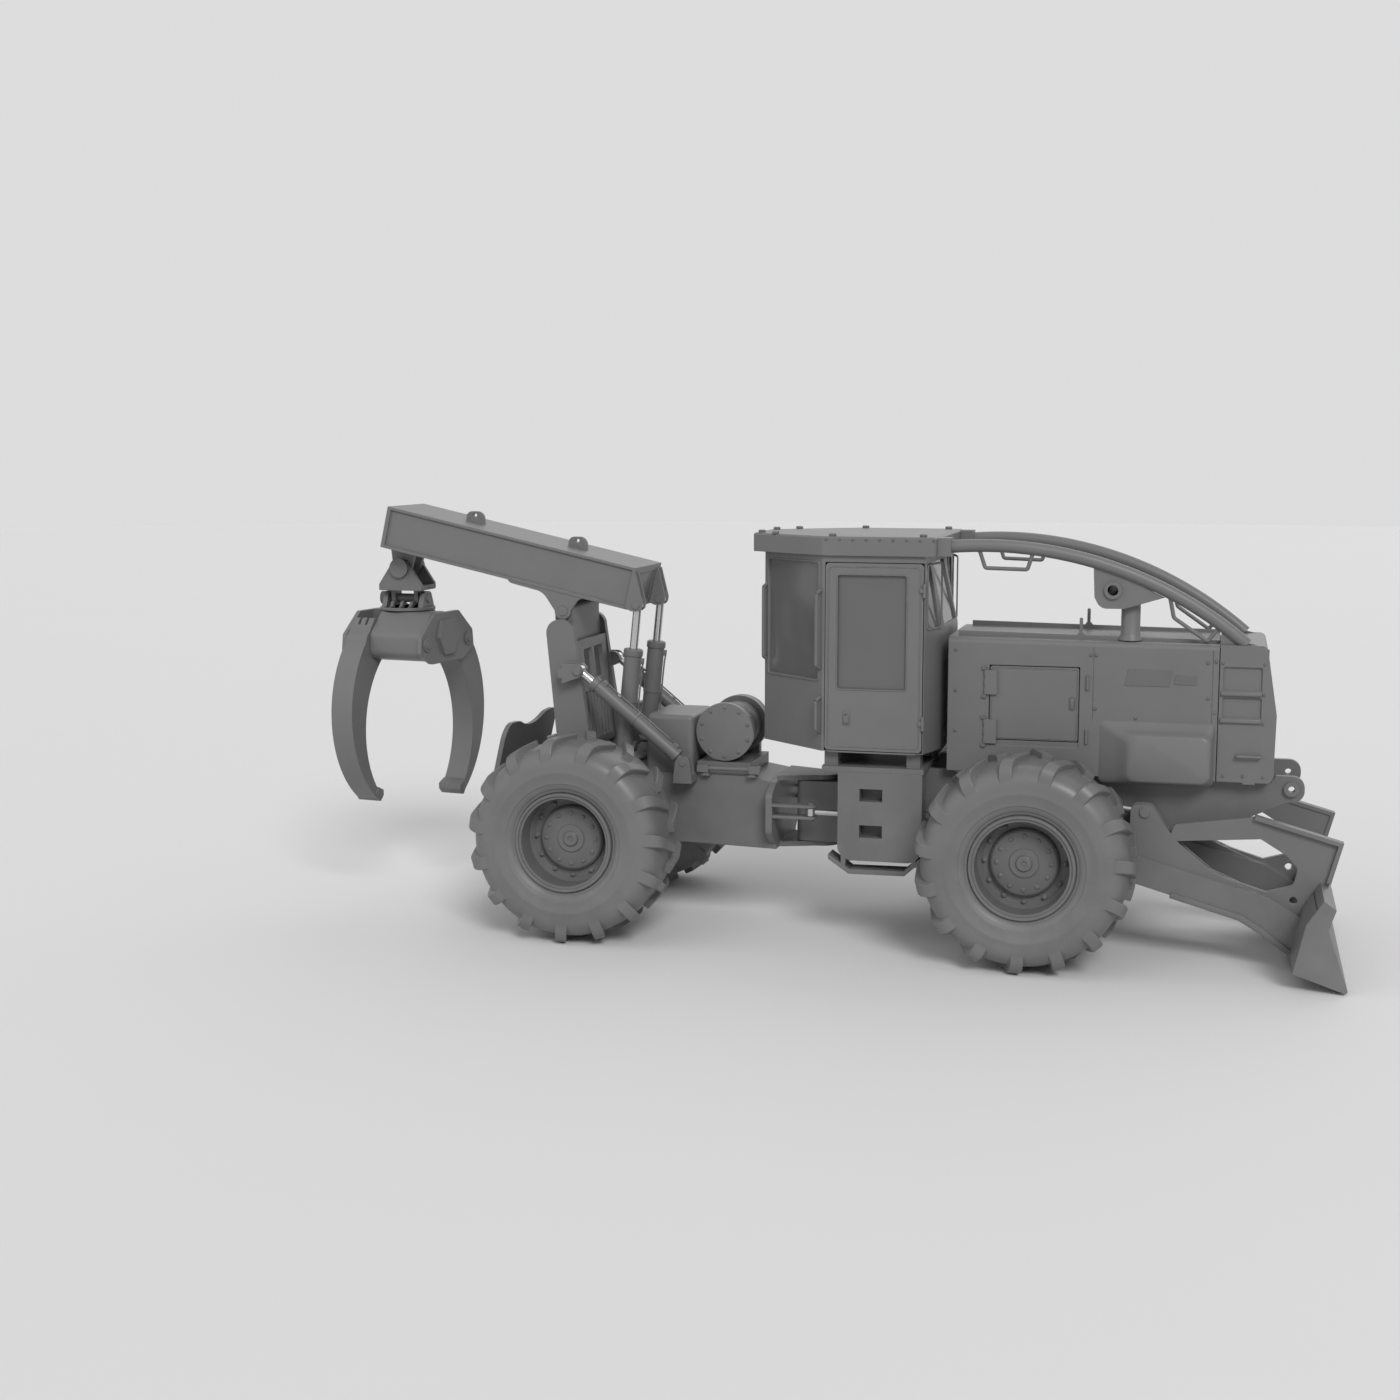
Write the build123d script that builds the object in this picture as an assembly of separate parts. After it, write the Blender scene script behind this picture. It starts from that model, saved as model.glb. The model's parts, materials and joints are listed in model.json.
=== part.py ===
from build123d import *
import os
from math import atan2, cos, degrees, hypot, radians, sin

os.makedirs("parts", exist_ok=True)

# Grapple skidder, in millimetres. X points forwards to the blade, Y to the driver's left, Z up.
# The origin is on the ground, halfway between the axles, under the articulation hinge.
# Rows of a side outline are (along, up, corner radius).

# Main sizes
WHEELBASE = 3952.0
TYRE_RADIUS = 915.0
TYRE_WIDTH = 770.0
WHEEL_CENTRE_Y = 1190.0
FIT = 0.3
PIN_GAP = 0.1
FRONT_AXLE_X = WHEELBASE / 2
REAR_AXLE_X = -WHEELBASE / 2
AXLE_Z = TYRE_RADIUS

# Wheel sizes
BEAD_RADIUS = 405.0
RIM_LIP_RADIUS = 438.0
RIM_WALL = 17.0
BEAD_HALF_WIDTH = 318.0
RIM_LIP_WIDTH = 22.0
DISC_OUTER_OFFSET = 60.0
DISC_THICK = 40.0
SPINDLE_RADIUS = 90.0
SPINDLE_IN_DISC = 24.0
HUB_CAP_RADIUS = 150.0
HUB_CAP_HEIGHT = 34.0
SHOULDER_RADIUS = 872.0

# Axles
AXLE_TUBE_RADIUS = 150.0
PLANETARY_RADIUS = 255.0
PLANETARY_LENGTH = 250.0
DIFF_RADIUS = 270.0
DIFF_WIDTH = 420.0
TRUNNION_RADIUS = 95.0
TRUNNION_REACH = 345.0
CRADLE_THICK = 55.0
CRADLE_GAP = 8.0

# Articulation
HINGE_BOX_REAR = -190.0
CHASSIS_START = 450.0
HINGE_BOX_HALF = 215.0
HINGE_BOX_LOW = 775.0
HINGE_BOX_HIGH = 1325.0
HINGE_BOX_ROUND = 60.0
YOKE_THICK = 45.0
YOKE_GAP = 6.0
YOKE_RADIUS = 170.0
HINGE_PIN_RADIUS = 60.0
REAR_FRAME_FRONT = -330.0

# Steering cylinders
STEER_EYE_X = 13.0
STEER_EYE_Y = 540.0
STEER_Z = 1106.0
STEER_FOOT_X = 1250.0
STEER_FOOT_Y = 540.0
STEER_BORE = 48.0
STEER_ROD = 26.0

# Front frame
FRONT_PLATE_HALF = 454.0
FRONT_PLATE_THICK = 55.0
FRAME_LOW = 760.0
FRAME_HIGH = 1500.0
HITCH_X = 4099.0
HITCH_Z = 1492.0
HITCH_LUG_RADIUS = 107.0
HITCH_HOLE = 27.0
HITCH_BOSS = 34.0

# Hood
HOOD_REAR = 1225.0
HOOD_NOSE_SPLIT = 3480.0
HOOD_FRONT = 3955.0
HOOD_HALF = 612.0
HOOD_LOW = 1550.0
HOOD_TOP_REAR = 2715.0
HOOD_TOP_FRONT = 2700.0
HOOD_WALL = 28.0
HOOD_EDGE_ROUND = 55.0
PANEL_GAP = 8.0
HOOD_DOOR_X = (1587.0, 2336.0)
HOOD_DOOR_Z = (1840.0, 2472.0)
HOOD_RECESS_LOW = 1785.0
HOOD_DOOR_THICK = 22.0
BULGE_X = (2765.0, 3440.0)
BULGE_Z = (1482.0, 1920.0)
BULGE_DEPTH = 135.0

# Cab
CAB_LOW = 1712.0
CAB_HIGH = 3408.0
ROOF_HIGH = 3572.0
CAB_WALL = 45.0
CAB_REAR_X = -469.0
CAB_REAR_HALF = 300.0
CAB_SIDE_REAR_X = 165.0
CAB_SIDE_HALF = 850.0
TANK_INNER_Y = 625.0
CAB_SIDE_FRONT_X = 1050.0
CAB_FRONT_LOW_X = 1165.0
CAB_FRONT_TOP_X = 1015.0
CAB_FRONT_HALF = 420.0
CAB_SILL_Z = 2750.0
DOOR_X = (193.0, 1038.0)
DOOR_Z = (1725.0, 3345.0)
DOOR_THICK = 45.0
DOOR_HINGE = (1048.0, 872.0)
DOOR_HINGE_HEIGHTS = (1980.0, 3120.0)
DOOR_HINGE_PIN = 7.0
DOOR_KNUCKLE = 14.0
DOOR_GAP = 6.0
DOOR_WINDOW_X = (300.0, 893.0)
DOOR_WINDOW_Z = (2262.0, 3242.0)
GLASS_THICK = 8.0

# Arch, boom and cylinders
ARCH_X = -2200.0
ARCH_Z = 1330.0
ARCH_TOP_X = -2345.0
ARCH_TOP_Z = 2762.0
ARCH_HALF = 500.0
ARCH_POST = 70.0
ARCH_POST_WIDTH_LOW = 330.0
ARCH_POST_WIDTH_TOP = 262.0
BOOM_PIN_X = -2345.0
BOOM_PIN_Z = 2838.0
BOOM_PIN_RADIUS = 45.0
BOOM_FRONT_X = -1646.0
BOOM_REAR_X = -4050.0
BOOM_SLOPE = degrees(atan2(531.0, 2387.0))
BOOM_HALF = 425.0
BOOM_DEPTH = 385.0
BOOM_PLATE = 30.0
ARCH_CYL_Y = 572.0
ARCH_CYL_EYE = (-2135.0, 2315.0)
ARCH_CYL_FOOT = (-1150.0, 1510.0)
ARCH_CYL_BORE = 62.0
ARCH_CYL_ROD = 36.0
BOOM_CYL_Y = 372.0
BOOM_CYL_EYE = (-1640.0, 2905.0)
BOOM_CYL_FOOT = (-1783.0, 1480.0)
BOOM_CYL_BORE = 80.0
BOOM_CYL_ROD = 42.0

# Grapple
GRAPPLE_X = -4055.0
HANGER_PIN_Z = 3187.0
ROLL_PIN_Z = 2890.0
HEAD_TOP_Z = 2775.0
HEAD_LOW_Z = 2350.0
HEAD_HALF_LENGTH = 430.0
HEAD_TURN = -7.6
HEAD_PLATE = 40.0
TONG_PIN_Y = 387.0
TONG_PIN_Z = 2487.0
TONG_WIDTH = 225.0
TONG_GAP = 6.0

# Blade
BLADE_PIVOT_X = 2450.0
BLADE_PIVOT_Z = 900.0
ARM_OUTER = 760.0
ARM_INNER = 560.0
BRACKET_OUTER = 700.0
BRACKET_THICK = 50.0
BLADE_HALF = 1405.0
BLADE_LOW = 14.0
BLADE_CYL_Y = 655.0
BLADE_CYL_EYE = (2917.0, 1278.0)
BLADE_CYL_FOOT = (1720.0, 1395.0)
BLADE_CYL_BORE = 58.0
BLADE_CYL_ROD = 32.0

# Winch
WINCH_X = -841.0
WINCH_Z = 1759.0
WINCH_RADIUS = 265.0
WINCH_HALF = 310.0

# Rear frame
REAR_END = -2760.0
REAR_TOP = 1380.0
REAR_LOW = 760.0
REAR_HALF = 420.0
REAR_PLATE = 50.0
REAR_FACE_HALF = 600.0
REAR_BUTT_HALF = 690.0
BUTT_TOP = (-2833.0, 1808.0)
BUTT_LOW = (-3150.0, 820.0)
BUTT_THICK = 45.0
STEER_EAR = 26.0
STEER_EAR_GAP = 38.0
ARCH_PIN = 60.0
CYL_PIN = 30.0
CROSSHEAD_HALF = 384.0
BOOM_EAR_OUTER = 424.0
BOOM_FRONT_TOP = 3239.0
BOOM_LENGTH = 2455.0
HANGER_PIN = 50.0
ROLL_PIN = 42.0
SPIGOT = 90.0
TONG_PIN = 40.0
BLADE_PIN = 55.0
WINCH_SHAFT = 60.0
WINCH_BASE_TOP = 1482.0
WINCH_BORE_END = -WINCH_HALF + 40
# Winch drum rings: low Y, high Y, radius
WINCH_RINGS = [
    (-310.0, -250.0, 265.0),
    (-252.0, 252.0, 205.0),
    (250.0, 310.0, 265.0),
]

# Cylinders: barrel radius, rod radius, half width at the foot, half width at the eye,
# start and end of the barrel, start of the rod and start of its bore, counted from the foot pin
ARCH_SIZES = (62.0, 34.0, 36.0, 36.0, 75.0, 1110.0, 600.0, 580.0)
BOOM_SIZES = (80.0, 38.0, 42.0, 39.0, 75.0, 1026.0, 590.0, 440.0)
BLADE_SIZES = (58.0, 32.0, 36.0, 34.0, 110.0, 900.0, 780.0, 590.0)
STEER_SIZES = (48.0, 26.0, 40.0, 32.0, 72.0, 800.0, 400.0, 40.0)

# Guard tubes
GUARD_Y = 743.0
GUARD_TURN = 4.5
TUBE_START = (1215.0, 3489.0)
TUBE_BEND = 3330.0
TUBE_SLOPE = -5.5
TUBE_END_X = 3700.0
TUBE_RADIUS = 55.0
CROSS_PIPE = (2600.0, 3140.0)

# Grab bars on the right: x, y, x of foot, y of foot, low z, high z
GRAB_BARS = [
    (-470.0, -358.0, -446.0, -321.0, 2440.0, 3120.0),
    (120.0, -890.0, 148.0, -837.0, 2430.0, 3110.0),
    (120.0, -890.0, 148.0, -837.0, 1870.0, 2180.0),
]


def span(x, y, z):
    """Box between low and high values on each axis."""
    size = [high - low for low, high in (x, y, z)]
    centre = [(high + low) / 2 for low, high in (x, y, z)]
    return Pos(*centre) * Box(*size)


def outline(rows):
    """Flat face from rows of (first, second, corner radius)."""
    points = [(row[0], row[1]) for row in rows]
    radii = [row[2] for row in rows]
    if any(radii):
        return make_face(FilletPolyline(*points, radius=radii, close=True))
    return make_face(Polyline(*points, close=True))


def side_plate(rows, y_low, y_high):
    """Side outline (x, z) made solid between two Y values."""
    plane = Plane(origin=(0, y_high, 0), x_dir=(1, 0, 0), z_dir=(0, -1, 0))
    return plane * extrude(outline(rows), y_high - y_low)


def cross_plate(rows, x_low, x_high):
    """Front outline (y, z) made solid between two X values."""
    plane = Plane(origin=(x_low, 0, 0), x_dir=(0, 1, 0), z_dir=(1, 0, 0))
    return plane * extrude(outline(rows), x_high - x_low)


def flat_plate(rows, z_low, z_high):
    """Plan outline (x, y) made solid between two Z values."""
    return Pos(0, 0, z_low) * extrude(outline(rows), z_high - z_low)


def both_sides(shape):
    """A piece with its mirror image across the machine."""
    return shape + mirror(shape, Plane.XZ)


def cross_pin(x, z, y_low, y_high, radius):
    """Round bar along Y."""
    low = Plane(origin=(x, y_high, z), x_dir=(1, 0, 0), z_dir=(0, -1, 0))
    return low * Cylinder(radius, y_high - y_low, align=(Align.CENTER, Align.CENTER, Align.MIN))


def bar(start, end, radius):
    """Round bar between two points."""
    axis = Vector(*end) - Vector(*start)
    plane = Plane(origin=start, z_dir=axis)
    return plane * Cylinder(radius, axis.length, align=(Align.CENTER, Align.CENTER, Align.MIN))


def turned(rows, x, y, z):
    """Ring or disc turned about a Y axis from rows of (offset along Y, radius)."""
    plane = Plane(origin=(x, y, z), x_dir=(0, 1, 0), z_dir=(1, 0, 0))
    face = plane * make_face(Polyline(*rows, close=True))
    return revolve(face, Axis((x, y, z), (0, 1, 0)), 360)


def save(shape, name):
    """Write one named piece."""
    export_step(shape, "parts/" + name + ".step")


# Wheels: tyre and rim, outboard side towards +Y for a left wheel
def tyre(x, side):
    half = TYRE_WIDTH / 2
    rows = [
        (-BEAD_HALF_WIDTH, BEAD_RADIUS + FIT),
        (BEAD_HALF_WIDTH, BEAD_RADIUS + FIT),
        (BEAD_HALF_WIDTH, RIM_LIP_RADIUS + 22),
        (half - 12, RIM_LIP_RADIUS + 110),
        (half, RIM_LIP_RADIUS + 210),
        (half - 16, SHOULDER_RADIUS - 70),
        (half - 60, SHOULDER_RADIUS),
        (half - 130, TYRE_RADIUS),
        (130 - half, TYRE_RADIUS),
        (60 - half, SHOULDER_RADIUS),
        (16 - half, SHOULDER_RADIUS - 70),
        (-half, RIM_LIP_RADIUS + 210),
        (12 - half, RIM_LIP_RADIUS + 110),
        (-BEAD_HALF_WIDTH, RIM_LIP_RADIUS + 22),
    ]
    return turned(rows, x, side * WHEEL_CENTRE_Y, AXLE_Z)


def rim(x, side):
    barrel = BEAD_HALF_WIDTH + FIT
    lip = barrel + RIM_LIP_WIDTH
    inner = BEAD_RADIUS - RIM_WALL
    disc_in = DISC_OUTER_OFFSET - DISC_THICK
    rows = [
        (-lip, inner),
        (-lip, RIM_LIP_RADIUS),
        (-barrel, RIM_LIP_RADIUS),
        (-barrel, BEAD_RADIUS),
        (barrel, BEAD_RADIUS),
        (barrel, RIM_LIP_RADIUS),
        (lip, RIM_LIP_RADIUS),
        (lip, inner),
        (DISC_OUTER_OFFSET + 60, inner),
        (DISC_OUTER_OFFSET, inner - 40),
        (DISC_OUTER_OFFSET, HUB_CAP_RADIUS + 12),
        (DISC_OUTER_OFFSET + HUB_CAP_HEIGHT, HUB_CAP_RADIUS),
        (DISC_OUTER_OFFSET + HUB_CAP_HEIGHT, 0),
        (disc_in + SPINDLE_IN_DISC + FIT, 0),
        (disc_in + SPINDLE_IN_DISC + FIT, SPINDLE_RADIUS + PIN_GAP),
        (disc_in, SPINDLE_RADIUS + PIN_GAP),
        (disc_in, inner - 50),
        (disc_in - 60, inner),
    ]
    shape = turned([(side * along, radius) for along, radius in rows], x, side * WHEEL_CENTRE_Y, AXLE_Z)
    return shape


def axle(x):
    """Rigid axle with its differential, planetary ends, spindles and trunnions."""
    disc_in = WHEEL_CENTRE_Y + DISC_OUTER_OFFSET - DISC_THICK
    hub_end = disc_in - CRADLE_GAP
    tube = cross_pin(x, AXLE_Z, -hub_end, hub_end, AXLE_TUBE_RADIUS)
    diff = Pos(x, 0, AXLE_Z) * Cylinder(DIFF_RADIUS, DIFF_WIDTH, rotation=(90, 0, 0))
    diff = chamfer(diff.edges().filter_by(GeomType.CIRCLE), 60)
    shape = tube + diff
    hub = cross_pin(x, AXLE_Z, hub_end - PLANETARY_LENGTH, hub_end, PLANETARY_RADIUS)
    shape += both_sides(chamfer(hub.edges().filter_by(GeomType.CIRCLE).sort_by(Axis.Y)[0], 40))
    spindle = cross_pin(x, AXLE_Z, hub_end - 10, disc_in + SPINDLE_IN_DISC, SPINDLE_RADIUS)
    shape += both_sides(spindle)
    trunnion = bar((x - TRUNNION_REACH, 0, AXLE_Z), (x + TRUNNION_REACH, 0, AXLE_Z), TRUNNION_RADIUS)
    return shape + trunnion


def cradle(x, half, top):
    """Cross plates before and behind an axle that hold its trunnions."""
    shape = Part()
    for side in (-1, 1):
        near = x + side * (TRUNNION_REACH - CRADLE_THICK)
        far = x + side * TRUNNION_REACH
        low, high = min(near, far), max(near, far)
        rows = [
            (-half, top, 0),
            (half, top, 0),
            (half, AXLE_Z, 0),
            (TRUNNION_RADIUS + 60, AXLE_Z - 150, 40),
            (-TRUNNION_RADIUS - 60, AXLE_Z - 150, 40),
            (-half, AXLE_Z, 0),
        ]
        plate = cross_plate(rows, low, high)
        plate -= bar((low - 5, 0, AXLE_Z), (high + 5, 0, AXLE_Z), TRUNNION_RADIUS + FIT)
        shape += plate
    return shape


def front_chassis():
    """Two side plates with hitch lugs, the box of the hinge and cross members."""
    notch = TRUNNION_REACH - CRADLE_THICK - 5
    rows = [
        (-20, HINGE_BOX_LOW, 0),
        (FRONT_AXLE_X - TRUNNION_REACH - 30, FRAME_LOW, 0),
        (FRONT_AXLE_X - notch - 20, 1180, 40),
        (FRONT_AXLE_X + notch + 20, 1180, 40),
        (FRONT_AXLE_X + TRUNNION_REACH + 30, FRAME_LOW, 0),
        (2960, FRAME_LOW, 60),
        (3260, 1060, 60),
        (3694, 1202, 60),
        (HITCH_X - 40, HITCH_Z - 122, 60),
        (HITCH_X + 107, HITCH_Z - 107, 100),
        (HITCH_X + 107, HITCH_Z + 107, 100),
        (HITCH_X - 130, HITCH_Z + 107, 0),
        (HITCH_X - 170, FRAME_HIGH + 35, 0),
        (HOOD_REAR, FRAME_HIGH + 35, 0),
        (300, FRAME_HIGH + 35, 0),
        (170, HINGE_BOX_HIGH, 0),
        (-20, HINGE_BOX_HIGH, 0),
    ]
    outer = FRONT_PLATE_HALF + FRONT_PLATE_THICK / 2
    inner = FRONT_PLATE_HALF - FRONT_PLATE_THICK / 2
    plate = side_plate(rows, -outer, -inner)
    boss = cross_pin(HITCH_X, HITCH_Z, -outer - HITCH_BOSS, -outer, 62)
    plate += boss
    plate -= span((-400, CHASSIS_START - 5), (-outer - 5, -inner + 5), (0, 2000))
    plate -= cross_pin(HITCH_X, HITCH_Z, -outer - 60, -inner + 5, HITCH_HOLE)
    shape = both_sides(plate)
    hinge_box = span(
        (HINGE_BOX_REAR, CHASSIS_START),
        (-HINGE_BOX_HALF, HINGE_BOX_HALF),
        (HINGE_BOX_LOW, HINGE_BOX_HIGH))
    corners = hinge_box.edges().filter_by(Axis.Z).group_by(Axis.X)[0]
    hinge_box = fillet(corners, HINGE_BOX_ROUND)
    hinge_box -= Pos(0, 0, 1000) * Cylinder(HINGE_PIN_RADIUS + PIN_GAP, 1200)
    shape += hinge_box
    shape += span((CHASSIS_START - 5, CHASSIS_START + 80), (-inner, inner), (FRAME_LOW, FRAME_HIGH - 60))
    shape += cradle(FRONT_AXLE_X, inner, 1290)
    for low, high in ((1640, 1720), (3050, 3130)):
        shape += span((low, high), (-inner, inner), (1230, 1300))
    shape += span((3560, 3880), (-inner, inner), (1300, 1400))
    shape += span((1150, 1400), (-inner, inner), (1280, 1340))
    return shape


def steer_mounts():
    """Ears and pins on the front frame that hold the feet of the steering cylinders."""
    wall = FRONT_PLATE_HALF + FRONT_PLATE_THICK / 2 - 1
    ear_rows = [
        (STEER_FOOT_X - 110, -wall, 0),
        (STEER_FOOT_X - 60, -STEER_FOOT_Y - 55, 50),
        (STEER_FOOT_X + 60, -STEER_FOOT_Y - 55, 50),
        (STEER_FOOT_X + 110, -wall, 0),
    ]
    shape = Pos(STEER_FOOT_X, -STEER_FOOT_Y, STEER_Z) * Cylinder(CYL_PIN, 170)
    for centre in (STEER_Z - 62, STEER_Z + 62):
        shape += flat_plate(ear_rows, centre - 14, centre + 14)
    return both_sides(shape)


def hood():
    """Hollow engine hood behind the nose, open below, with its side door openings."""
    rows = [
        (HOOD_REAR, HOOD_LOW, 0),
        (HOOD_NOSE_SPLIT, HOOD_LOW, 0),
        (HOOD_NOSE_SPLIT, HOOD_TOP_FRONT, 0),
        (HOOD_REAR, HOOD_TOP_REAR, 0),
    ]
    outer = side_plate(rows, -HOOD_HALF, HOOD_HALF)
    top_edges = outer.edges().filter_by(lambda e: abs(e.center().Y) > HOOD_HALF - 1)
    top_edges = top_edges.filter_by(lambda e: e.center().Z > 2600 and e.length > 1000)
    outer = fillet(top_edges, HOOD_EDGE_ROUND)
    inner_half = HOOD_HALF - HOOD_WALL
    core = span((HOOD_REAR + HOOD_WALL, HOOD_NOSE_SPLIT + 5), (-inner_half, inner_half),
                (HOOD_LOW - 5, HOOD_TOP_FRONT - HOOD_EDGE_ROUND))
    shape = outer - core
    bulge = span(BULGE_X, (HOOD_HALF - 2, HOOD_HALF + BULGE_DEPTH), BULGE_Z)
    bulge = fillet(bulge.edges().filter_by(Axis.Y), 90)
    bulge = fillet(bulge.faces().sort_by(Axis.Y)[-1].edges(), 60)
    shape += both_sides(bulge)
    opening = span(
        (HOOD_DOOR_X[0] - PANEL_GAP, HOOD_DOOR_X[1] + PANEL_GAP),
        (inner_half - 5, HOOD_HALF + 5),
        (HOOD_DOOR_Z[0] - PANEL_GAP, HOOD_DOOR_Z[1] + PANEL_GAP))
    shape -= both_sides(opening)
    recess = span(
        (HOOD_DOOR_X[0] - PANEL_GAP, HOOD_DOOR_X[1] + PANEL_GAP),
        (HOOD_HALF - 8, HOOD_HALF + 5),
        (HOOD_RECESS_LOW, HOOD_DOOR_Z[0]))
    shape -= both_sides(recess)
    for x in (1300, 3300):
        foot = span((x, x + 100), (440, HOOD_HALF - 10), (FRAME_HIGH + 35 + FIT, HOOD_LOW + 12))
        shape += both_sides(foot)
    rail_rows = [
        (HOOD_REAR + 70, HOOD_TOP_REAR - 12, 0),
        (3610, HOOD_TOP_FRONT - 12, 0),
        (3610, HOOD_TOP_FRONT + 26, 0),
        (HOOD_REAR + 70, HOOD_TOP_REAR + 45, 0),
    ]
    rail = side_plate(rail_rows, 470, 500)
    rail -= span((HOOD_NOSE_SPLIT, 3700), (400, 600), (2600, 2800))
    shape += both_sides(rail)
    return shape


def hood_door(side):
    """Side access door, flush in its opening, with two hinge straps at its rear edge."""
    y_out = HOOD_HALF - 6
    door = span(HOOD_DOOR_X, (y_out - HOOD_DOOR_THICK, y_out), HOOD_DOOR_Z)
    door = fillet(door.edges().filter_by(Axis.Y), 20)
    for centre in (1905, 2330):
        strap = span((HOOD_DOOR_X[0] - 45, HOOD_DOOR_X[0] + 60), (HOOD_HALF + 5, HOOD_HALF + 20), (centre - 105, centre + 105))
        strap += span((HOOD_DOOR_X[0] + 5, HOOD_DOOR_X[0] + 60), (y_out - 2, HOOD_HALF + 6), (centre - 105, centre + 105))
        door += strap
    return door if side > 0 else mirror(door, Plane.XZ)


def nose():
    """Front nose of the hood: a frame with two side windows and the grille bars."""
    rows = [
        (HOOD_NOSE_SPLIT + PANEL_GAP, HOOD_LOW, 0),
        (HOOD_FRONT - 10, HOOD_LOW, 60),
        (HOOD_FRONT, 2126, 60),
        (3862, HOOD_TOP_FRONT, 50),
        (HOOD_NOSE_SPLIT + PANEL_GAP, HOOD_TOP_FRONT, 0),
    ]
    outer = side_plate(rows, -HOOD_HALF, HOOD_HALF)
    inner_half = HOOD_HALF - HOOD_WALL
    core_rows = [
        (HOOD_NOSE_SPLIT - 5, HOOD_LOW + 60, 0),
        (HOOD_FRONT - 60, HOOD_LOW + 60, 0),
        (HOOD_FRONT - 50, 2120, 0),
        (3815, HOOD_TOP_FRONT - HOOD_WALL, 0),
        (HOOD_NOSE_SPLIT - 5, HOOD_TOP_FRONT - HOOD_WALL, 0),
    ]
    shape = outer - side_plate(core_rows, -inner_half, inner_half)
    for low, high in ((2305, 2518), (2078, 2262)):
        window = span((3515, 3830), (inner_half - 5, HOOD_HALF + 5), (low, high))
        shape -= both_sides(fillet(window.edges().filter_by(Axis.Y), 18))
    grille = span((3800, HOOD_FRONT + 10), (-inner_half + 70, inner_half - 70), (1700, 2600))
    shape -= grille
    for index in range(9):
        z = 1760 + index * 98
        depth = 3905 if z < 2150 else 3905 - (z - 2150) * 0.16
        shape += span((depth - 25, depth + 10), (-inner_half + 60, inner_half - 60), (z - 14, z + 14))
    shape += span((3860, 3892), (-20, 20), (1690, 2610))
    foot = span((3700, 3800), (400, HOOD_HALF), (FRAME_HIGH + 35 + FIT, HOOD_LOW + 10))
    return shape + both_sides(foot)


def cab_plan(inset, front_x):
    """Plan outline of the cab, moved in from its outer faces, with the front wall at front_x."""
    return [
        (CAB_REAR_X + inset, -CAB_REAR_HALF + inset * 0.36, 0),
        (CAB_SIDE_REAR_X + inset * 0.3, -CAB_SIDE_HALF + inset, 0),
        (CAB_SIDE_FRONT_X - inset * 0.6, -CAB_SIDE_HALF + inset, 0),
        (front_x - inset, -CAB_FRONT_HALF + inset * 0.2, 0),
        (front_x - inset, CAB_FRONT_HALF - inset * 0.2, 0),
        (CAB_SIDE_FRONT_X - inset * 0.6, CAB_SIDE_HALF - inset, 0),
        (CAB_SIDE_REAR_X + inset * 0.3, CAB_SIDE_HALF - inset, 0),
        (CAB_REAR_X + inset, CAB_REAR_HALF - inset * 0.36, 0),
    ]


def cab_solid(inset, low, high):
    """Cab volume: upright below the windscreen's foot, leaning back above it."""
    shape = Part()
    if low < CAB_SILL_Z:
        shape += flat_plate(cab_plan(inset, CAB_FRONT_LOW_X), low, CAB_SILL_Z)
    lean = (CAB_FRONT_LOW_X - CAB_FRONT_TOP_X) / (CAB_HIGH - CAB_SILL_Z)
    top_x = CAB_FRONT_LOW_X - lean * (high - CAB_SILL_Z)
    lower = Pos(0, 0, CAB_SILL_Z) * outline(cab_plan(inset, CAB_FRONT_LOW_X))
    upper = Pos(0, 0, high) * outline(cab_plan(inset, top_x))
    return shape + loft([lower, upper])


def cab_frame():
    """Hollow cab shell with its floor, door openings and window openings."""
    shape = cab_solid(0, CAB_LOW, CAB_HIGH)
    shape -= cab_solid(CAB_WALL, CAB_LOW + 60, CAB_HIGH + 5)
    door_hole = span((DOOR_X[0] - DOOR_GAP, DOOR_X[1] + DOOR_GAP), (CAB_SIDE_HALF - 120, CAB_SIDE_HALF + 10),
                     (DOOR_Z[0] + 45, DOOR_Z[1] + DOOR_GAP))
    shape -= both_sides(door_hole)
    recess = span((DOOR_X[0] - DOOR_GAP, DOOR_X[1] + DOOR_GAP), (CAB_SIDE_HALF - DOOR_THICK + 4 - DOOR_GAP, CAB_SIDE_HALF + 10),
                  (DOOR_Z[0] - DOOR_GAP, DOOR_Z[1] + DOOR_GAP))
    shape -= both_sides(recess)
    shape -= span((CAB_REAR_X - 50, CAB_REAR_X + 120), (-CAB_REAR_HALF + 60, CAB_REAR_HALF - 60), (2350, 3330))
    screen = span((CAB_FRONT_TOP_X - 150, CAB_FRONT_LOW_X + 50), (-CAB_FRONT_HALF + 60, CAB_FRONT_HALF - 60),
                  (CAB_SILL_Z + 40, 3330))
    shape -= screen
    shape -= both_sides(quarter_window(40, 0))
    shape -= both_sides(front_window(60, 0))
    x, y = DOOR_HINGE
    for height in DOOR_HINGE_HEIGHTS:
        knuckle = Pos(x, y, height) * Cylinder(DOOR_HINGE_PIN, 116)
        for low in (height - 60, height + 20):
            knuckle += Pos(x, y, low + 20) * Cylinder(DOOR_KNUCKLE, 40)
            knuckle += span((x - 2, x + 12), (y - 32, y), (low, low + 40))
        shape += both_sides(knuckle)
    return shape


def quarter_window(depth, inset):
    """Block through the rear quarter panel, where its window is cut."""
    start = Vector(CAB_REAR_X, -CAB_REAR_HALF, 0)
    end = Vector(CAB_SIDE_REAR_X, -CAB_SIDE_HALF, 0)
    run = end - start
    plane = Plane(origin=start, x_dir=run, z_dir=(0, 0, 1))
    pane = span((60 + inset, run.length - 60 - inset), (-depth, depth * 2), (2330 + inset, 3340 - inset))
    return plane * pane


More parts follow.
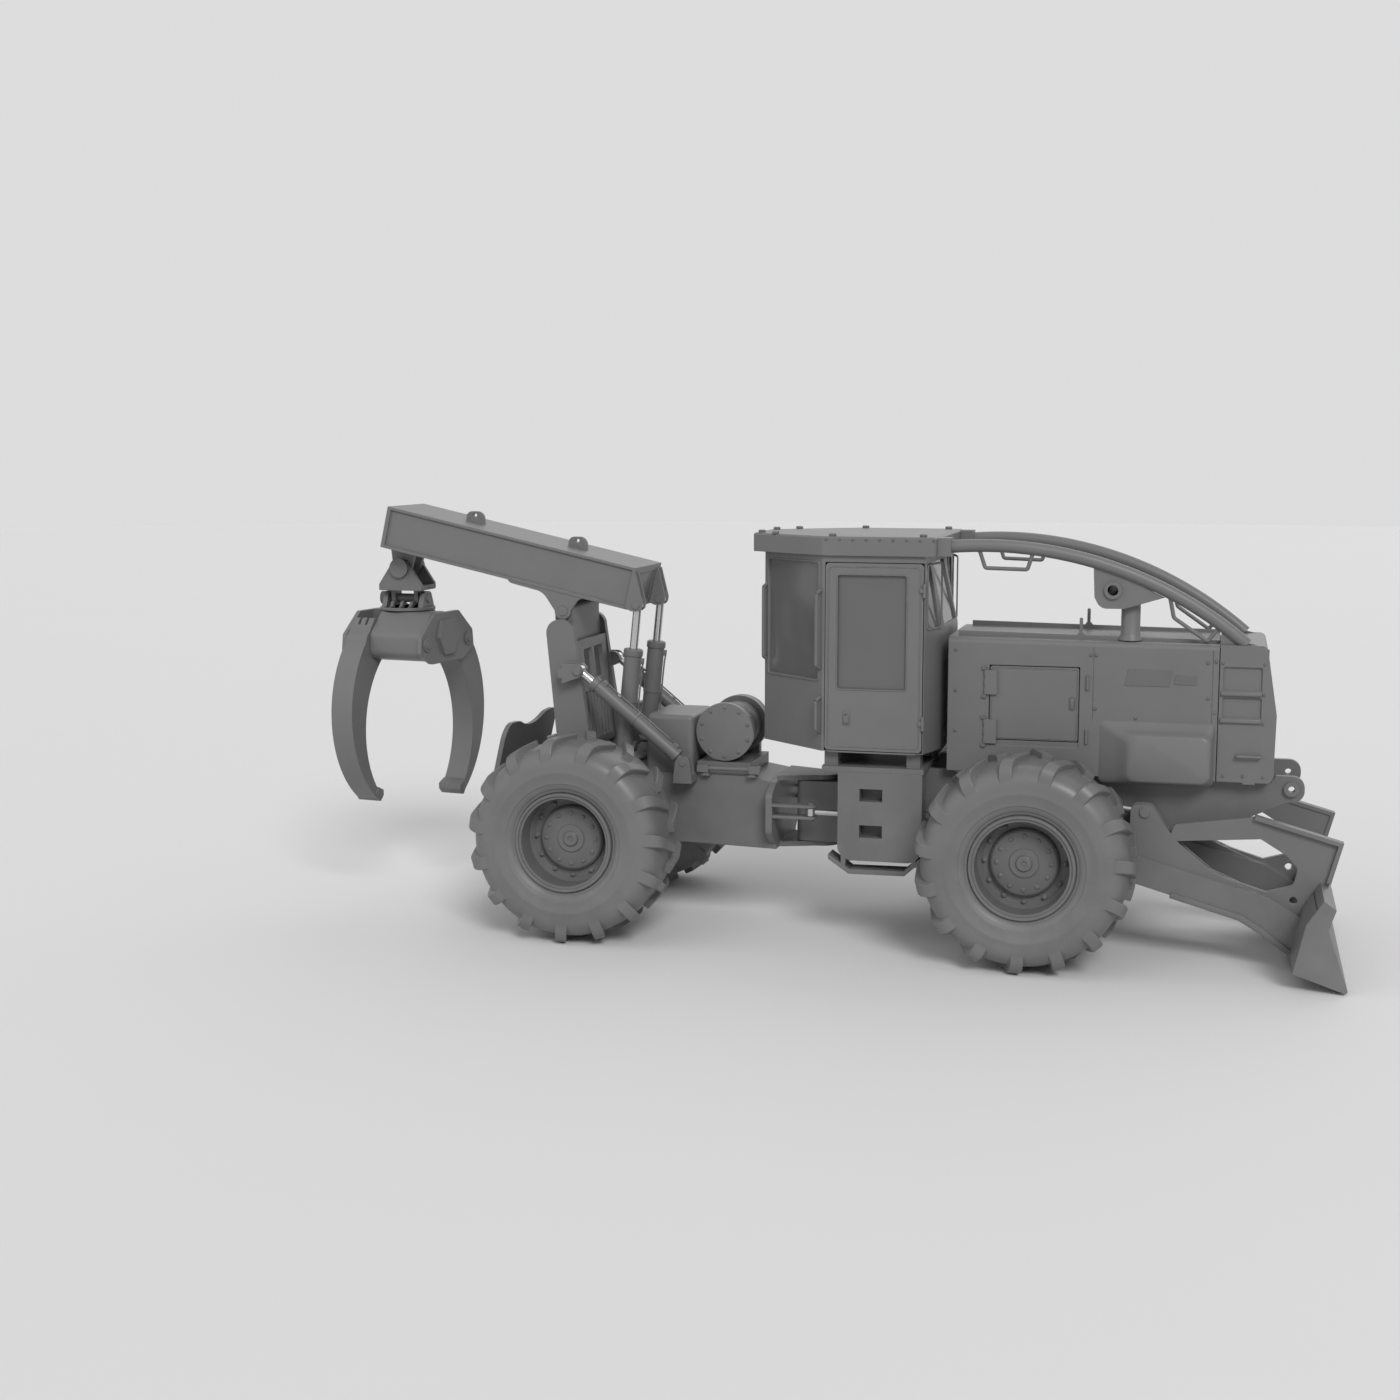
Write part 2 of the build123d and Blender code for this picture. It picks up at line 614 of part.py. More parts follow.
def front_window(depth, inset):
    """Block through the front quarter panel, beside the windscreen."""
    start = Vector(CAB_SIDE_FRONT_X, -CAB_SIDE_HALF, 0)
    end = Vector(CAB_FRONT_LOW_X, -CAB_FRONT_HALF, 0)
    run = end - start
    plane = Plane(origin=start, x_dir=run, z_dir=(0, 0, 1))
    pane = span((70 + inset, run.length - 90 - inset), (-depth, depth * 4), (CAB_SILL_Z + 40 + inset, 3330 - inset))
    return plane * pane


def cab_roof():
    """Roof band that stands proud of the cab, with a flat lid."""
    edge = 30
    rows = [
        (CAB_REAR_X - 95, -CAB_REAR_HALF - 60, 30),
        (CAB_SIDE_REAR_X, -CAB_SIDE_HALF - edge, 60),
        (CAB_SIDE_FRONT_X + 95, -CAB_SIDE_HALF - edge, 40),
        (CAB_SIDE_FRONT_X + 95, CAB_SIDE_HALF + edge, 40),
        (CAB_SIDE_REAR_X, CAB_SIDE_HALF + edge, 60),
        (CAB_REAR_X - 95, CAB_REAR_HALF + 60, 30),
    ]
    roof = flat_plate(rows, CAB_HIGH + FIT, ROOF_HIGH)
    return chamfer(roof.faces().sort_by(Axis.Z)[-1].edges(), 14)


def cab_glass():
    """Rear, windscreen, quarter and front side panes, each inside its opening."""
    rear_y = (-CAB_REAR_HALF + 60.3, CAB_REAR_HALF - 60.3)
    shape = span((CAB_REAR_X + 18, CAB_REAR_X + 18 + GLASS_THICK), rear_y, (2350.3, 3329.7))
    band = cab_solid(18, CAB_LOW, CAB_HIGH) - cab_solid(18 + GLASS_THICK, CAB_LOW, CAB_HIGH + 5)
    screen = span(
        (CAB_FRONT_TOP_X - 150, CAB_FRONT_LOW_X + 50),
        (-CAB_FRONT_HALF + 60.3, CAB_FRONT_HALF - 60.3),
        (CAB_SILL_Z + 40.3, 3329.7))
    shape += band & screen
    shape += both_sides(band & quarter_window(40, FIT))
    shape += both_sides(band & front_window(60, FIT))
    return shape


def door(side):
    """Cab door with its window opening cut."""
    leaf = span(DOOR_X, (CAB_SIDE_HALF - DOOR_THICK + 8, CAB_SIDE_HALF + 8), DOOR_Z)
    leaf = fillet(leaf.edges().filter_by(Axis.Y), 35)
    window = span(DOOR_WINDOW_X, (CAB_SIDE_HALF - 100, CAB_SIDE_HALF + 50), DOOR_WINDOW_Z)
    leaf -= fillet(window.edges().filter_by(Axis.Y), 25)
    x, y = DOOR_HINGE
    for height in DOOR_HINGE_HEIGHTS:
        half = 20 - FIT
        leaf += Pos(x, y, height) * Cylinder(DOOR_KNUCKLE, half * 2)
        leaf += span((x - 40, x - 2), (y - 15, y + 2), (height - half, height + half))
        leaf -= Pos(x, y, height) * Cylinder(DOOR_HINGE_PIN + PIN_GAP, half * 2 + 2)
    return leaf if side > 0 else mirror(leaf, Plane.XZ)


def door_glass(side):
    pane = span(
        (DOOR_WINDOW_X[0] + FIT, DOOR_WINDOW_X[1] - FIT),
        (CAB_SIDE_HALF - 25, CAB_SIDE_HALF - 25 + GLASS_THICK),
        (DOOR_WINDOW_Z[0] + FIT, DOOR_WINDOW_Z[1] - FIT))
    pane = fillet(pane.edges().filter_by(Axis.Y), 25)
    return pane if side > 0 else mirror(pane, Plane.XZ)


def seat():
    """Driver's seat on its pedestal with two armrest consoles."""
    floor = CAB_LOW + 60 + FIT
    shape = span((180, 620), (-190, 190), (floor, floor + 300))
    shape += span((120, 680), (-260, 260), (floor + 290, floor + 440))
    shape += span((60, 200), (-240, 240), (floor + 400, floor + 1150))
    shape += both_sides(span((230, 700), (250, 370), (floor + 400, floor + 640)))
    return shape


def platform():
    """Cab base frame between the front frame and the cab floor."""
    top = CAB_LOW - FIT
    shape = span((170, 1060), (-CAB_SIDE_HALF, CAB_SIDE_HALF), (FRAME_HIGH + 35 + FIT, FRAME_HIGH + 80))
    for x in (240, 960):
        for y in (-700, 0, 700):
            shape += span((x - 60, x + 60), (y - 80, y + 80), (FRAME_HIGH + 70, top))
    return shape


def side_tanks():
    """Step box under each door, round at its foot, with two toe holes and a hanging step."""
    rows = [
        (313, FRAME_HIGH + 35, 10),
        (1050, FRAME_HIGH + 35, 10),
        (1050, 755, 130),
        (313, 755, 130),
    ]
    tank = side_plate(rows, TANK_INNER_Y, CAB_SIDE_HALF)
    for z in (1335, 1015):
        tank -= span((505, 705), (700, CAB_SIDE_HALF + 5), (z - 55, z + 55))
    step_rows = [
        (232, 800, 0),
        (420, 676, 0),
        (900, 682, 0),
        (1040, 800, 0),
        (1040, 762, 0),
        (905, 640, 0),
        (415, 634, 0),
        (232, 758, 0),
    ]
    tank += side_plate(step_rows, 640, CAB_SIDE_HALF)
    for y in (640, CAB_SIDE_HALF - 40):
        tank += span((345, 385), (y, y + 40), (690, 815))
        tank += span((965, 1005), (y, y + 40), (720, 805))
    return both_sides(tank)


def guard_tube():
    """One curved guard tube, drawn in the machine's middle plane."""
    start_x, start_z = TUBE_START
    end_sin = (TUBE_END_X - start_x) / TUBE_BEND + sin(radians(TUBE_SLOPE))
    sweep_angle = degrees(atan2(end_sin, (1 - end_sin ** 2) ** 0.5)) - TUBE_SLOPE
    drop_x = TUBE_BEND * sin(radians(TUBE_SLOPE))
    drop_z = TUBE_BEND * cos(radians(TUBE_SLOPE))
    arc = CenterArc((start_x - drop_x, start_z - drop_z), TUBE_BEND, 90 - TUBE_SLOPE, -sweep_angle)
    path = Plane(origin=(0, 0, 0), x_dir=(1, 0, 0), z_dir=(0, -1, 0)) * arc
    return sweep(Plane(origin=path @ 0, z_dir=path % 0) * Circle(TUBE_RADIUS), path)


def winch_drum():
    """Cable drum with two flanges and rope wound between them."""
    shape = Part()
    for low, high, radius in WINCH_RINGS:
        shape += cross_pin(WINCH_X, WINCH_Z, low, high, radius)
    return shape - cross_pin(WINCH_X, WINCH_Z, WINCH_BORE_END, WINCH_HALF + 5, WINCH_SHAFT + PIN_GAP)


def winch_housing():
    """Base, drive case and shaft that carry the drum from the left."""
    shape = span((WINCH_X - 250, WINCH_X + 250), (-WINCH_HALF - 20, WINCH_HALF + 90), (REAR_TOP, WINCH_BASE_TOP))
    case_low = WINCH_HALF + 8
    shape += cross_pin(WINCH_X, WINCH_Z, case_low, case_low + 95, WINCH_RADIUS - 8)
    shape += span((WINCH_X - 180, WINCH_X + 180), (case_low, case_low + 80), (REAR_TOP + 10, WINCH_Z))
    shape += cross_pin(WINCH_X, WINCH_Z, WINCH_BORE_END + FIT, case_low + 10, WINCH_SHAFT)
    return shape


def rear_chassis():
    """Rear frame: hollow box on side plates, hinge yoke, cylinder ears and arch pins."""
    notch = TRUNNION_REACH - CRADLE_THICK - 5
    rows = [
        (REAR_FRAME_FRONT, 725, 0),
        (REAR_AXLE_X + TRUNNION_REACH + 30, REAR_LOW, 0),
        (REAR_AXLE_X + notch + 20, 1180, 40),
        (REAR_AXLE_X - notch - 20, 1180, 40),
        (REAR_AXLE_X - TRUNNION_REACH - 30, REAR_LOW, 0),
        (REAR_END + 140, REAR_LOW, 90),
        (REAR_END, 900, 60),
        (REAR_END, 1240, 60),
        (REAR_END + 200, REAR_TOP, 0),
        (-620, REAR_TOP, 0),
        (REAR_FRAME_FRONT, 1330, 0),
    ]
    shape = side_plate(rows, -REAR_HALF, REAR_HALF)
    inner = REAR_HALF - REAR_PLATE
    shape -= span((REAR_END + 60, REAR_FRAME_FRONT - 60), (-inner, inner), (REAR_LOW - 5, REAR_TOP - 40))
    face_rows = [
        (-REAR_FACE_HALF, 900, 60),
        (-REAR_HALF + 60, 725, 0),
        (REAR_HALF - 60, 725, 0),
        (REAR_FACE_HALF, 900, 60),
        (REAR_FACE_HALF, 1250, 60),
        (REAR_HALF, 1330, 0),
        (-REAR_HALF, 1330, 0),
        (-REAR_FACE_HALF, 1250, 60),
    ]
    shape += cross_plate(face_rows, REAR_FRAME_FRONT - 60, REAR_FRAME_FRONT)
    yoke = [
        (REAR_FRAME_FRONT - 20, -300, 0),
        (REAR_FRAME_FRONT - 20, 300, 0),
        (0, YOKE_RADIUS, 0),
        (YOKE_RADIUS, YOKE_RADIUS, YOKE_RADIUS * 0.9),
        (YOKE_RADIUS, -YOKE_RADIUS, YOKE_RADIUS * 0.9),
        (0, -YOKE_RADIUS, 0),
    ]
    top = HINGE_BOX_HIGH + YOKE_GAP
    low = HINGE_BOX_LOW - YOKE_GAP
    shape += flat_plate(yoke, top, top + YOKE_THICK)
    shape += flat_plate(yoke, low - YOKE_THICK, low)
    shape += Pos(0, 0, (top + low) / 2) * Cylinder(HINGE_PIN_RADIUS, top - low + 90)
    ear = [
        (REAR_FRAME_FRONT - 10, -STEER_EYE_Y - 55, 0),
        (STEER_EYE_X + 50, -STEER_EYE_Y - 50, 48),
        (STEER_EYE_X + 50, -STEER_EYE_Y + 50, 48),
        (REAR_FRAME_FRONT - 10, -STEER_EYE_Y + 75, 0),
    ]
    for height in (STEER_Z - STEER_EAR_GAP - STEER_EAR, STEER_Z + STEER_EAR_GAP):
        shape += both_sides(flat_plate(ear, height, height + STEER_EAR))
    for low_z, high_z in ((STEER_Z - 78, STEER_Z - 60), (STEER_Z + 60, STEER_Z + 78)):
        head = Pos(STEER_EYE_X, -STEER_EYE_Y, (low_z + high_z) / 2) * Cylinder(30, high_z - low_z + 4)
        shape += both_sides(head)
    shape += cradle(REAR_AXLE_X, inner, 1290)
    pin = cross_pin(ARCH_X, ARCH_Z, -ARCH_HALF - 12, -REAR_HALF + 5, ARCH_PIN)
    return shape + both_sides(pin)


def arch_cylinder_mounts():
    """Pads on the rear frame's sides, with the ears and pins of the arch cylinders."""
    foot_x, foot_z = ARCH_CYL_FOOT
    pad_high = REAR_TOP + 12
    shape = span((foot_x - 85, foot_x + 85), (-ARCH_CYL_Y - 66, -REAR_HALF), (pad_high - 67, pad_high))
    for offset in (-54, 54):
        ear_rows = [
            (foot_x - 85, pad_high - 7, 0),
            (foot_x - 58, foot_z + 58, 56),
            (foot_x + 58, foot_z + 58, 56),
            (foot_x + 85, pad_high - 7, 0),
        ]
        centre = -ARCH_CYL_Y + offset
        shape += side_plate(ear_rows, centre - 12, centre + 12)
    shape += cross_pin(foot_x, foot_z, -ARCH_CYL_Y - 72, -ARCH_CYL_Y + 72, CYL_PIN)
    return both_sides(shape)


def butt_plate():
    """Leaning plate behind the rear frame that logs rest against, dipped in the middle."""
    lean = (BUTT_LOW[0] - BUTT_TOP[0]) / (BUTT_TOP[1] - BUTT_LOW[1])
    section = [
        (BUTT_TOP[0], BUTT_TOP[1], 0),
        (BUTT_TOP[0] + lean * 480 + 45, BUTT_TOP[1] - 480, 900),
        (BUTT_LOW[0], BUTT_LOW[1], 0),
        (BUTT_LOW[0] + BUTT_THICK, BUTT_LOW[1] - 8, 0),
        (BUTT_TOP[0] + lean * 480 + 45 + BUTT_THICK, BUTT_TOP[1] - 480, 900),
        (BUTT_TOP[0] + BUTT_THICK, BUTT_TOP[1], 0),
    ]
    front = [
        (-REAR_BUTT_HALF + 60, BUTT_LOW[1] - 20, 0),
        (REAR_BUTT_HALF - 60, BUTT_LOW[1] - 20, 0),
        (REAR_BUTT_HALF, 1100, 0),
        (REAR_BUTT_HALF, BUTT_TOP[1], 150),
        (REAR_BUTT_HALF - 330, BUTT_TOP[1] - 12, 300),
        (0, BUTT_TOP[1] - 130, 900),
        (330 - REAR_BUTT_HALF, BUTT_TOP[1] - 12, 300),
        (-REAR_BUTT_HALF, BUTT_TOP[1], 150),
        (-REAR_BUTT_HALF, 1100, 0),
    ]
    plate = side_plate(section, -REAR_BUTT_HALF, REAR_BUTT_HALF)
    plate = plate & cross_plate(front, REAR_END - 500, REAR_END + 200)
    web = [
        (REAR_END - FIT, 880, 0),
        (REAR_END - FIT, 1290, 0),
        (BUTT_TOP[0] + lean * 380 + 20, BUTT_TOP[1] - 380, 0),
        (BUTT_LOW[0] + 30, 900, 0),
    ]
    for y in (-300, 0, 300):
        plate += side_plate(web, y - 20, y + 20)
    return plate


def tank_cover():
    """Rounded cover between the arch and the winch."""
    box = span((-1570, WINCH_X - WINCH_RADIUS - 18), (-365, 365), (REAR_TOP + FIT, 1905))
    return fillet(box.edges().filter_by(Axis.Z) + box.faces().sort_by(Axis.Z)[-1].edges(), 45)


def lock_bar():
    """Stored bar that locks the articulation, with a fork at each end and two rests."""
    y, z = -458.0, 1446.0
    shape = bar((-970, y, z), (-550, y, z), 18)
    for low, high, slot_low, slot_high in ((-1055, -950, -1060, -1000), (-575, -470, -525, -465)):
        fork = span((low, high), (y - 32, y + 32), (z - 34, z + 34))
        fork = fillet(fork.edges().filter_by(Axis.Y), 14)
        shape += fork - span((slot_low, slot_high), (y - 12, y + 12), (z - 40, z + 40))
    for x in (-975, -545):
        shape += span((x - 22, x + 22), (y - 22, y + 22), (REAR_TOP + FIT + 5, z - 30))
        shape += span((x - 40, x + 40), (y - 30, y + 70), (REAR_TOP + FIT, REAR_TOP + 16))
    return shape


def arch():
    """Two posts, crosshead, ladder panel and the shelf that carries the boom cylinders."""
    rows = [
        (ARCH_X - 150, ARCH_Z - 110, 100),
        (ARCH_X + 150, ARCH_Z - 110, 100),
        (ARCH_X + 165, ARCH_Z + 150, 0),
        (ARCH_TOP_X + 132, ARCH_TOP_Z - 125, 0),
        (ARCH_TOP_X + 125, ARCH_TOP_Z, 120),
        (ARCH_TOP_X - 125, ARCH_TOP_Z, 120),
        (ARCH_TOP_X - 132, ARCH_TOP_Z - 125, 0),
        (ARCH_X - 165, ARCH_Z + 150, 0),
    ]
    post = side_plate(rows, -ARCH_HALF, -ARCH_HALF + ARCH_POST)
    post -= cross_pin(ARCH_X, ARCH_Z, -ARCH_HALF - 5, -ARCH_HALF + ARCH_POST + 5, ARCH_PIN + PIN_GAP)
    eye_x, eye_z = ARCH_CYL_EYE
    lug_rows = [
        (eye_x - 150, eye_z + 60, 0),
        (eye_x + 10, eye_z + 62, 50),
        (eye_x + 62, eye_z + 10, 50),
        (eye_x + 20, eye_z - 62, 50),
        (eye_x - 150, eye_z - 120, 0),
    ]
    inner_ear = side_plate(lug_rows, -ARCH_CYL_Y + 42, -ARCH_HALF + 20)
    outer_ear = side_plate(lug_rows, -ARCH_CYL_Y - 66, -ARCH_CYL_Y - 42)
    root = span((eye_x - 190, eye_x - 100), (-ARCH_CYL_Y - 66, -ARCH_HALF + 10), (eye_z - 70, eye_z + 20))
    post += inner_ear + outer_ear + root
    post += cross_pin(eye_x, eye_z, -ARCH_CYL_Y - 84, -ARCH_CYL_Y - 60, 40)
    shape = both_sides(post)
    inner = ARCH_HALF - ARCH_POST
    head_rows = [
        (BOOM_PIN_X - 80, BOOM_PIN_Z - 290, 20),
        (BOOM_PIN_X + 95, BOOM_PIN_Z - 310, 20),
        (BOOM_PIN_X + 85, BOOM_PIN_Z + 76, 70),
        (BOOM_PIN_X - 85, BOOM_PIN_Z + 76, 70),
    ]
    crosshead = side_plate(head_rows, -CROSSHEAD_HALF, CROSSHEAD_HALF)
    low_rows = [
        (BOOM_PIN_X - 80, BOOM_PIN_Z - 290, 20),
        (BOOM_PIN_X + 95, BOOM_PIN_Z - 310, 20),
        (BOOM_PIN_X + 90, BOOM_PIN_Z - 130, 20),
        (BOOM_PIN_X - 82, BOOM_PIN_Z - 130, 20),
    ]
    crosshead += side_plate(low_rows, -inner - 1, inner + 1)
    shape += crosshead
    shape += cross_pin(BOOM_PIN_X, BOOM_PIN_Z, -BOOM_EAR_OUTER, BOOM_EAR_OUTER, BOOM_PIN_RADIUS)
    for low, high in ((1500, 1580), (1980, 2050)):
        centre = ARCH_X - (low - ARCH_Z) * 0.1
        shape += span((centre - 60, centre + 60), (-inner - 1, inner + 1), (low, high))
    foot_x, foot_z = BOOM_CYL_FOOT
    shelf_low = REAR_TOP + 16
    shape += span((ARCH_X + 10, foot_x + 20), (-inner - 1, inner + 1), (shelf_low, shelf_low + 26))
    for offset in (-60, 60):
        ear_rows = [
            (foot_x - 90, shelf_low + 10, 0),
            (foot_x - 56, foot_z + 56, 54),
            (foot_x + 56, foot_z + 56, 54),
            (foot_x + 90, shelf_low + 10, 0),
        ]
        centre = -BOOM_CYL_Y + offset
        shape += both_sides(side_plate(ear_rows, centre - 12, centre + 12))
    shape += both_sides(cross_pin(foot_x, foot_z, -BOOM_CYL_Y - 76, -BOOM_CYL_Y + 76, CYL_PIN))
    return shape


def boom_point(back, down):
    """Point of the boom's side view, counted back and down from its top front corner."""
    slope = radians(BOOM_SLOPE)
    x = BOOM_FRONT_X - back * cos(slope) - down * sin(slope)
    z = BOOM_FRONT_TOP + back * sin(slope) - down * cos(slope)
    return x, z


def boom_rows(table):
    """Boom rows (back, down, corner radius) turned into side outline rows."""
    return [(*boom_point(back, down), radius) for back, down, radius in table]


def boom():
    """Box boom with edge flanges, rear end frame, pivot ears, cylinder ears and tip lugs."""
    side = BOOM_HALF - 20
    length, depth = BOOM_LENGTH, BOOM_DEPTH
    body = side_plate(boom_rows([(0, 0, 0), (length, 0, 0), (length, depth, 0), (0, depth, 0)]), -side, side)
    core = boom_rows([(-5, 25, 0), (length - 25, 25, 0), (length - 25, depth - 25, 0), (-5, depth - 25, 0)])
    body -= side_plate(core, -side + 25, side - 25)
    for top, low in ((-1, 24), (depth - 24, depth + 1)):
        rows = boom_rows([(0, top, 0), (length, top, 0), (length, low, 0), (0, low, 0)])
        body += side_plate(rows, -BOOM_HALF, BOOM_HALF)
    for start, end in ((0, 26), (length - 26, length + 12)):
        rows = boom_rows([(start, -1, 0), (end, -1, 0), (end, depth + 1, 0), (start, depth + 1, 0)])
        frame = side_plate(rows, -BOOM_HALF, BOOM_HALF)
        if start > 0:
            body += frame
        else:
            hole = boom_rows([(start - 5, 60, 0), (end + 5, 60, 0), (end + 5, depth - 60, 0), (start - 5, depth - 60, 0)])
            body += frame - side_plate(hole, -230, 230)
    ear_rows = [
        (-2880, 3092, 60),
        (BOOM_PIN_X - 190, BOOM_PIN_Z + 170, 160),
        (BOOM_PIN_X - 78, BOOM_PIN_Z + 2, 0),
        (BOOM_PIN_X - 78, BOOM_PIN_Z - 78, 76),
        (BOOM_PIN_X + 78, BOOM_PIN_Z - 78, 76),
        (BOOM_PIN_X + 78, BOOM_PIN_Z + 2, 0),
        (BOOM_PIN_X + 160, BOOM_PIN_Z + 120, 70),
        (-1960, 2912, 0),
        (-1960, 2945, 0),
        (-2880, 3145, 0),
    ]
    ear = side_plate(ear_rows, -BOOM_EAR_OUTER + 4, -CROSSHEAD_HALF - 6)
    ear -= cross_pin(BOOM_PIN_X, BOOM_PIN_Z, -BOOM_HALF - 5, -CROSSHEAD_HALF + 5, BOOM_PIN_RADIUS + PIN_GAP)
    body += both_sides(ear)
    eye_x, eye_z = BOOM_CYL_EYE
    front_top = boom_point(-2, 40)
    front_low = boom_point(-2, depth - 20)
    lug_rows = [
        (front_top[0] - 20, front_top[1], 0),
        (front_top[0] + 8, front_top[1], 0),
        (eye_x + 62, eye_z + 20, 40),
        (eye_x + 48, eye_z - 56, 50),
        (eye_x - 48, eye_z - 56, 50),
        (front_low[0] - 20, front_low[1], 0),
    ]
    for offset in (-56, 56):
        centre = -BOOM_CYL_Y + offset
        body += both_sides(side_plate(lug_rows, centre - 11, centre + 11))
    cap = cross_pin(eye_x, eye_z, -BOOM_CYL_Y - 78, -BOOM_CYL_Y - 60, 34)
    cap += cross_pin(eye_x, eye_z, -BOOM_CYL_Y + 60, -BOOM_CYL_Y + 78, 34)
    body += both_sides(cap)
    tip_rows = [
        (GRAPPLE_X - 110, 3410, 0),
        (GRAPPLE_X - 76, HANGER_PIN_Z - 74, 72),
        (GRAPPLE_X + 76, HANGER_PIN_Z - 74, 72),
        (GRAPPLE_X + 150, 3360, 0),
    ]
    lug = side_plate(tip_rows, -130, -84)
    lug -= cross_pin(GRAPPLE_X, HANGER_PIN_Z, -140, -80, HANGER_PIN + PIN_GAP)
    body += both_sides(lug)
    for back in (700, 1740):
        x, z = boom_point(back, 0)
        eye = side_plate([(x - 70, z - 20, 0), (x - 45, z + 45, 40), (x + 45, z + 45, 40), (x + 70, z - 20, 0)], -14, 14)
        body += eye - cross_pin(x, z + 18, -20, 20, 13)
    return body


def hanger():
    """Crosshead of the grapple: plates on the tip pin and lugs for the cross pin below."""
    rows = [
        (GRAPPLE_X - 62, HANGER_PIN_Z + 76, 40),
        (GRAPPLE_X - 215, 3030, 10),
        (GRAPPLE_X - 215, 2972, 10),
        (GRAPPLE_X + 215, 2972, 10),
        (GRAPPLE_X + 215, 3030, 10),
        (GRAPPLE_X + 62, HANGER_PIN_Z + 76, 40),
    ]
    shape = both_sides(side_plate(rows, -178, -138))
    shape += span((GRAPPLE_X - 215, GRAPPLE_X + 215), (-140, 140), (2972, 3020))
    shape += cross_pin(GRAPPLE_X, HANGER_PIN_Z, -176, 176, HANGER_PIN)
    shape += both_sides(cross_pin(GRAPPLE_X, HANGER_PIN_Z, -212, -176, 92))
    for side in (-1, 1):
        lug_rows = [(-80, 2975, 0), (-66, ROLL_PIN_Z - 66, 64), (66, ROLL_PIN_Z - 66, 64), (80, 2975, 0)]
        low = GRAPPLE_X + side * 115 - 20
        lug = cross_plate(lug_rows, low, low + 40)
        lug -= bar((low - 5, 0, ROLL_PIN_Z), (low + 45, 0, ROLL_PIN_Z), ROLL_PIN + PIN_GAP)
        shape += lug
    return shape


def yoke():
    """Swivel yoke: cheeks on the cross pin, ribbed base disc and the spigot of the turntable."""
    shape = bar((GRAPPLE_X - 222, 0, ROLL_PIN_Z), (GRAPPLE_X + 222, 0, ROLL_PIN_Z), ROLL_PIN)
    shape += bar((GRAPPLE_X - 262, 0, ROLL_PIN_Z), (GRAPPLE_X - 206, 0, ROLL_PIN_Z), 62)
    base = HEAD_TOP_Z + 6
    for side in (-1, 1):
        rows = [(-150, base + 10, 0), (-72, ROLL_PIN_Z + 66, 68), (72, ROLL_PIN_Z + 66, 68), (150, base + 10, 0)]
        low = GRAPPLE_X + side * 186 - 24
        shape += cross_plate(rows, low, low + 48)
    shape += Pos(GRAPPLE_X, 0, base + 15) * Cylinder(235, 30)
    shape += Pos(GRAPPLE_X, 0, base - 40) * Cylinder(SPIGOT, 100)
    return shape


def turn_head(shape):
    """Head pieces are drawn square and then turned with the head."""
    return Pos(GRAPPLE_X, 0, 0) * Rot(0, 0, HEAD_TURN) * shape


def grapple_head():
    """Head with two end plates and a staggered housing between the tongs."""
    half, plate = HEAD_HALF_LENGTH, HEAD_PLATE
    rows = [
        (0, HEAD_TOP_Z, 0),
        (-230, HEAD_TOP_Z, 60),
        (-440, HEAD_TOP_Z - 200, 90),
        (-440, HEAD_LOW_Z + 10, 90),
        (-300, HEAD_LOW_Z - 30, 60),
        (0, HEAD_LOW_Z - 30, 0),
    ]
    notch = half - plate - TONG_WIDTH - 2 * TONG_GAP
    near = cross_plate(rows, -notch, half - plate + 1)
    shape = near + Rot(0, 0, 180) * near
    end_rows = [
        (-220, HEAD_TOP_Z - 5, 30),
        (-480, HEAD_TOP_Z - 210, 40),
        (-500, 2400, 40),
        (-290, 2295, 30),
        (290, 2295, 30),
        (500, 2400, 40),
        (480, HEAD_TOP_Z - 210, 40),
        (220, HEAD_TOP_Z - 5, 30),
    ]
    for low in (-half, half - plate):
        shape += cross_plate(end_rows, low, low + plate)
    for side in (-1, 1):
        pad = [
            (-130, 2700, 10), (-190, 2540, 10), (-90, 2370, 10),
            (90, 2370, 10), (190, 2540, 10), (130, 2700, 10)]
        low = half if side > 0 else -half - 26
        shape += cross_plate(pad, low - 1, low + 27)
    pin = bar((-half - 16, TONG_PIN_Y, TONG_PIN_Z), (half + 16, TONG_PIN_Y, TONG_PIN_Z), TONG_PIN)
    shape += pin + Rot(0, 0, 180) * pin
    shape -= Pos(0, 0, HEAD_TOP_Z) * Cylinder(SPIGOT + PIN_GAP, 240)
    return turn_head(shape)


def tong(side):
    """Curved tong with its hub, lever and tip shoe; side -1 hangs on the right."""
    outer_top, outer_mid, tip = (440, 2560), (775, 1800), (323, 962)
    inner_low, inner_mid, inner_top = (285, 1000), (540, 1640), (215, 2330)
    edges = [
        ThreePointArc(outer_top, outer_mid, tip),
        Line(tip, inner_low),
        ThreePointArc(inner_low, inner_mid, inner_top),
        Line(inner_top, (300, 2560)),
        Line((300, 2560), outer_top),
    ]
    width = TONG_WIDTH
    low = HEAD_HALF_LENGTH - HEAD_PLATE - TONG_GAP - width
    plane = Plane(origin=(low, 0, 0), x_dir=(0, 1, 0), z_dir=(1, 0, 0))
    shape = plane * extrude(make_face(edges), width)
    hub = bar((low, TONG_PIN_Y, TONG_PIN_Z), (low + width, TONG_PIN_Y, TONG_PIN_Z), 118)
    lever = cross_plate([(270, 2480, 0), (250, 2700, 40), (345, 2720, 40), (490, 2520, 40)], low, low + width)
    shape += hub + lever
    shape -= bar((low - 5, TONG_PIN_Y, TONG_PIN_Z), (low + width + 5, TONG_PIN_Y, TONG_PIN_Z), TONG_PIN + PIN_GAP)
    if side < 0:
        shape = Rot(0, 0, 180) * shape
    return turn_head(shape)


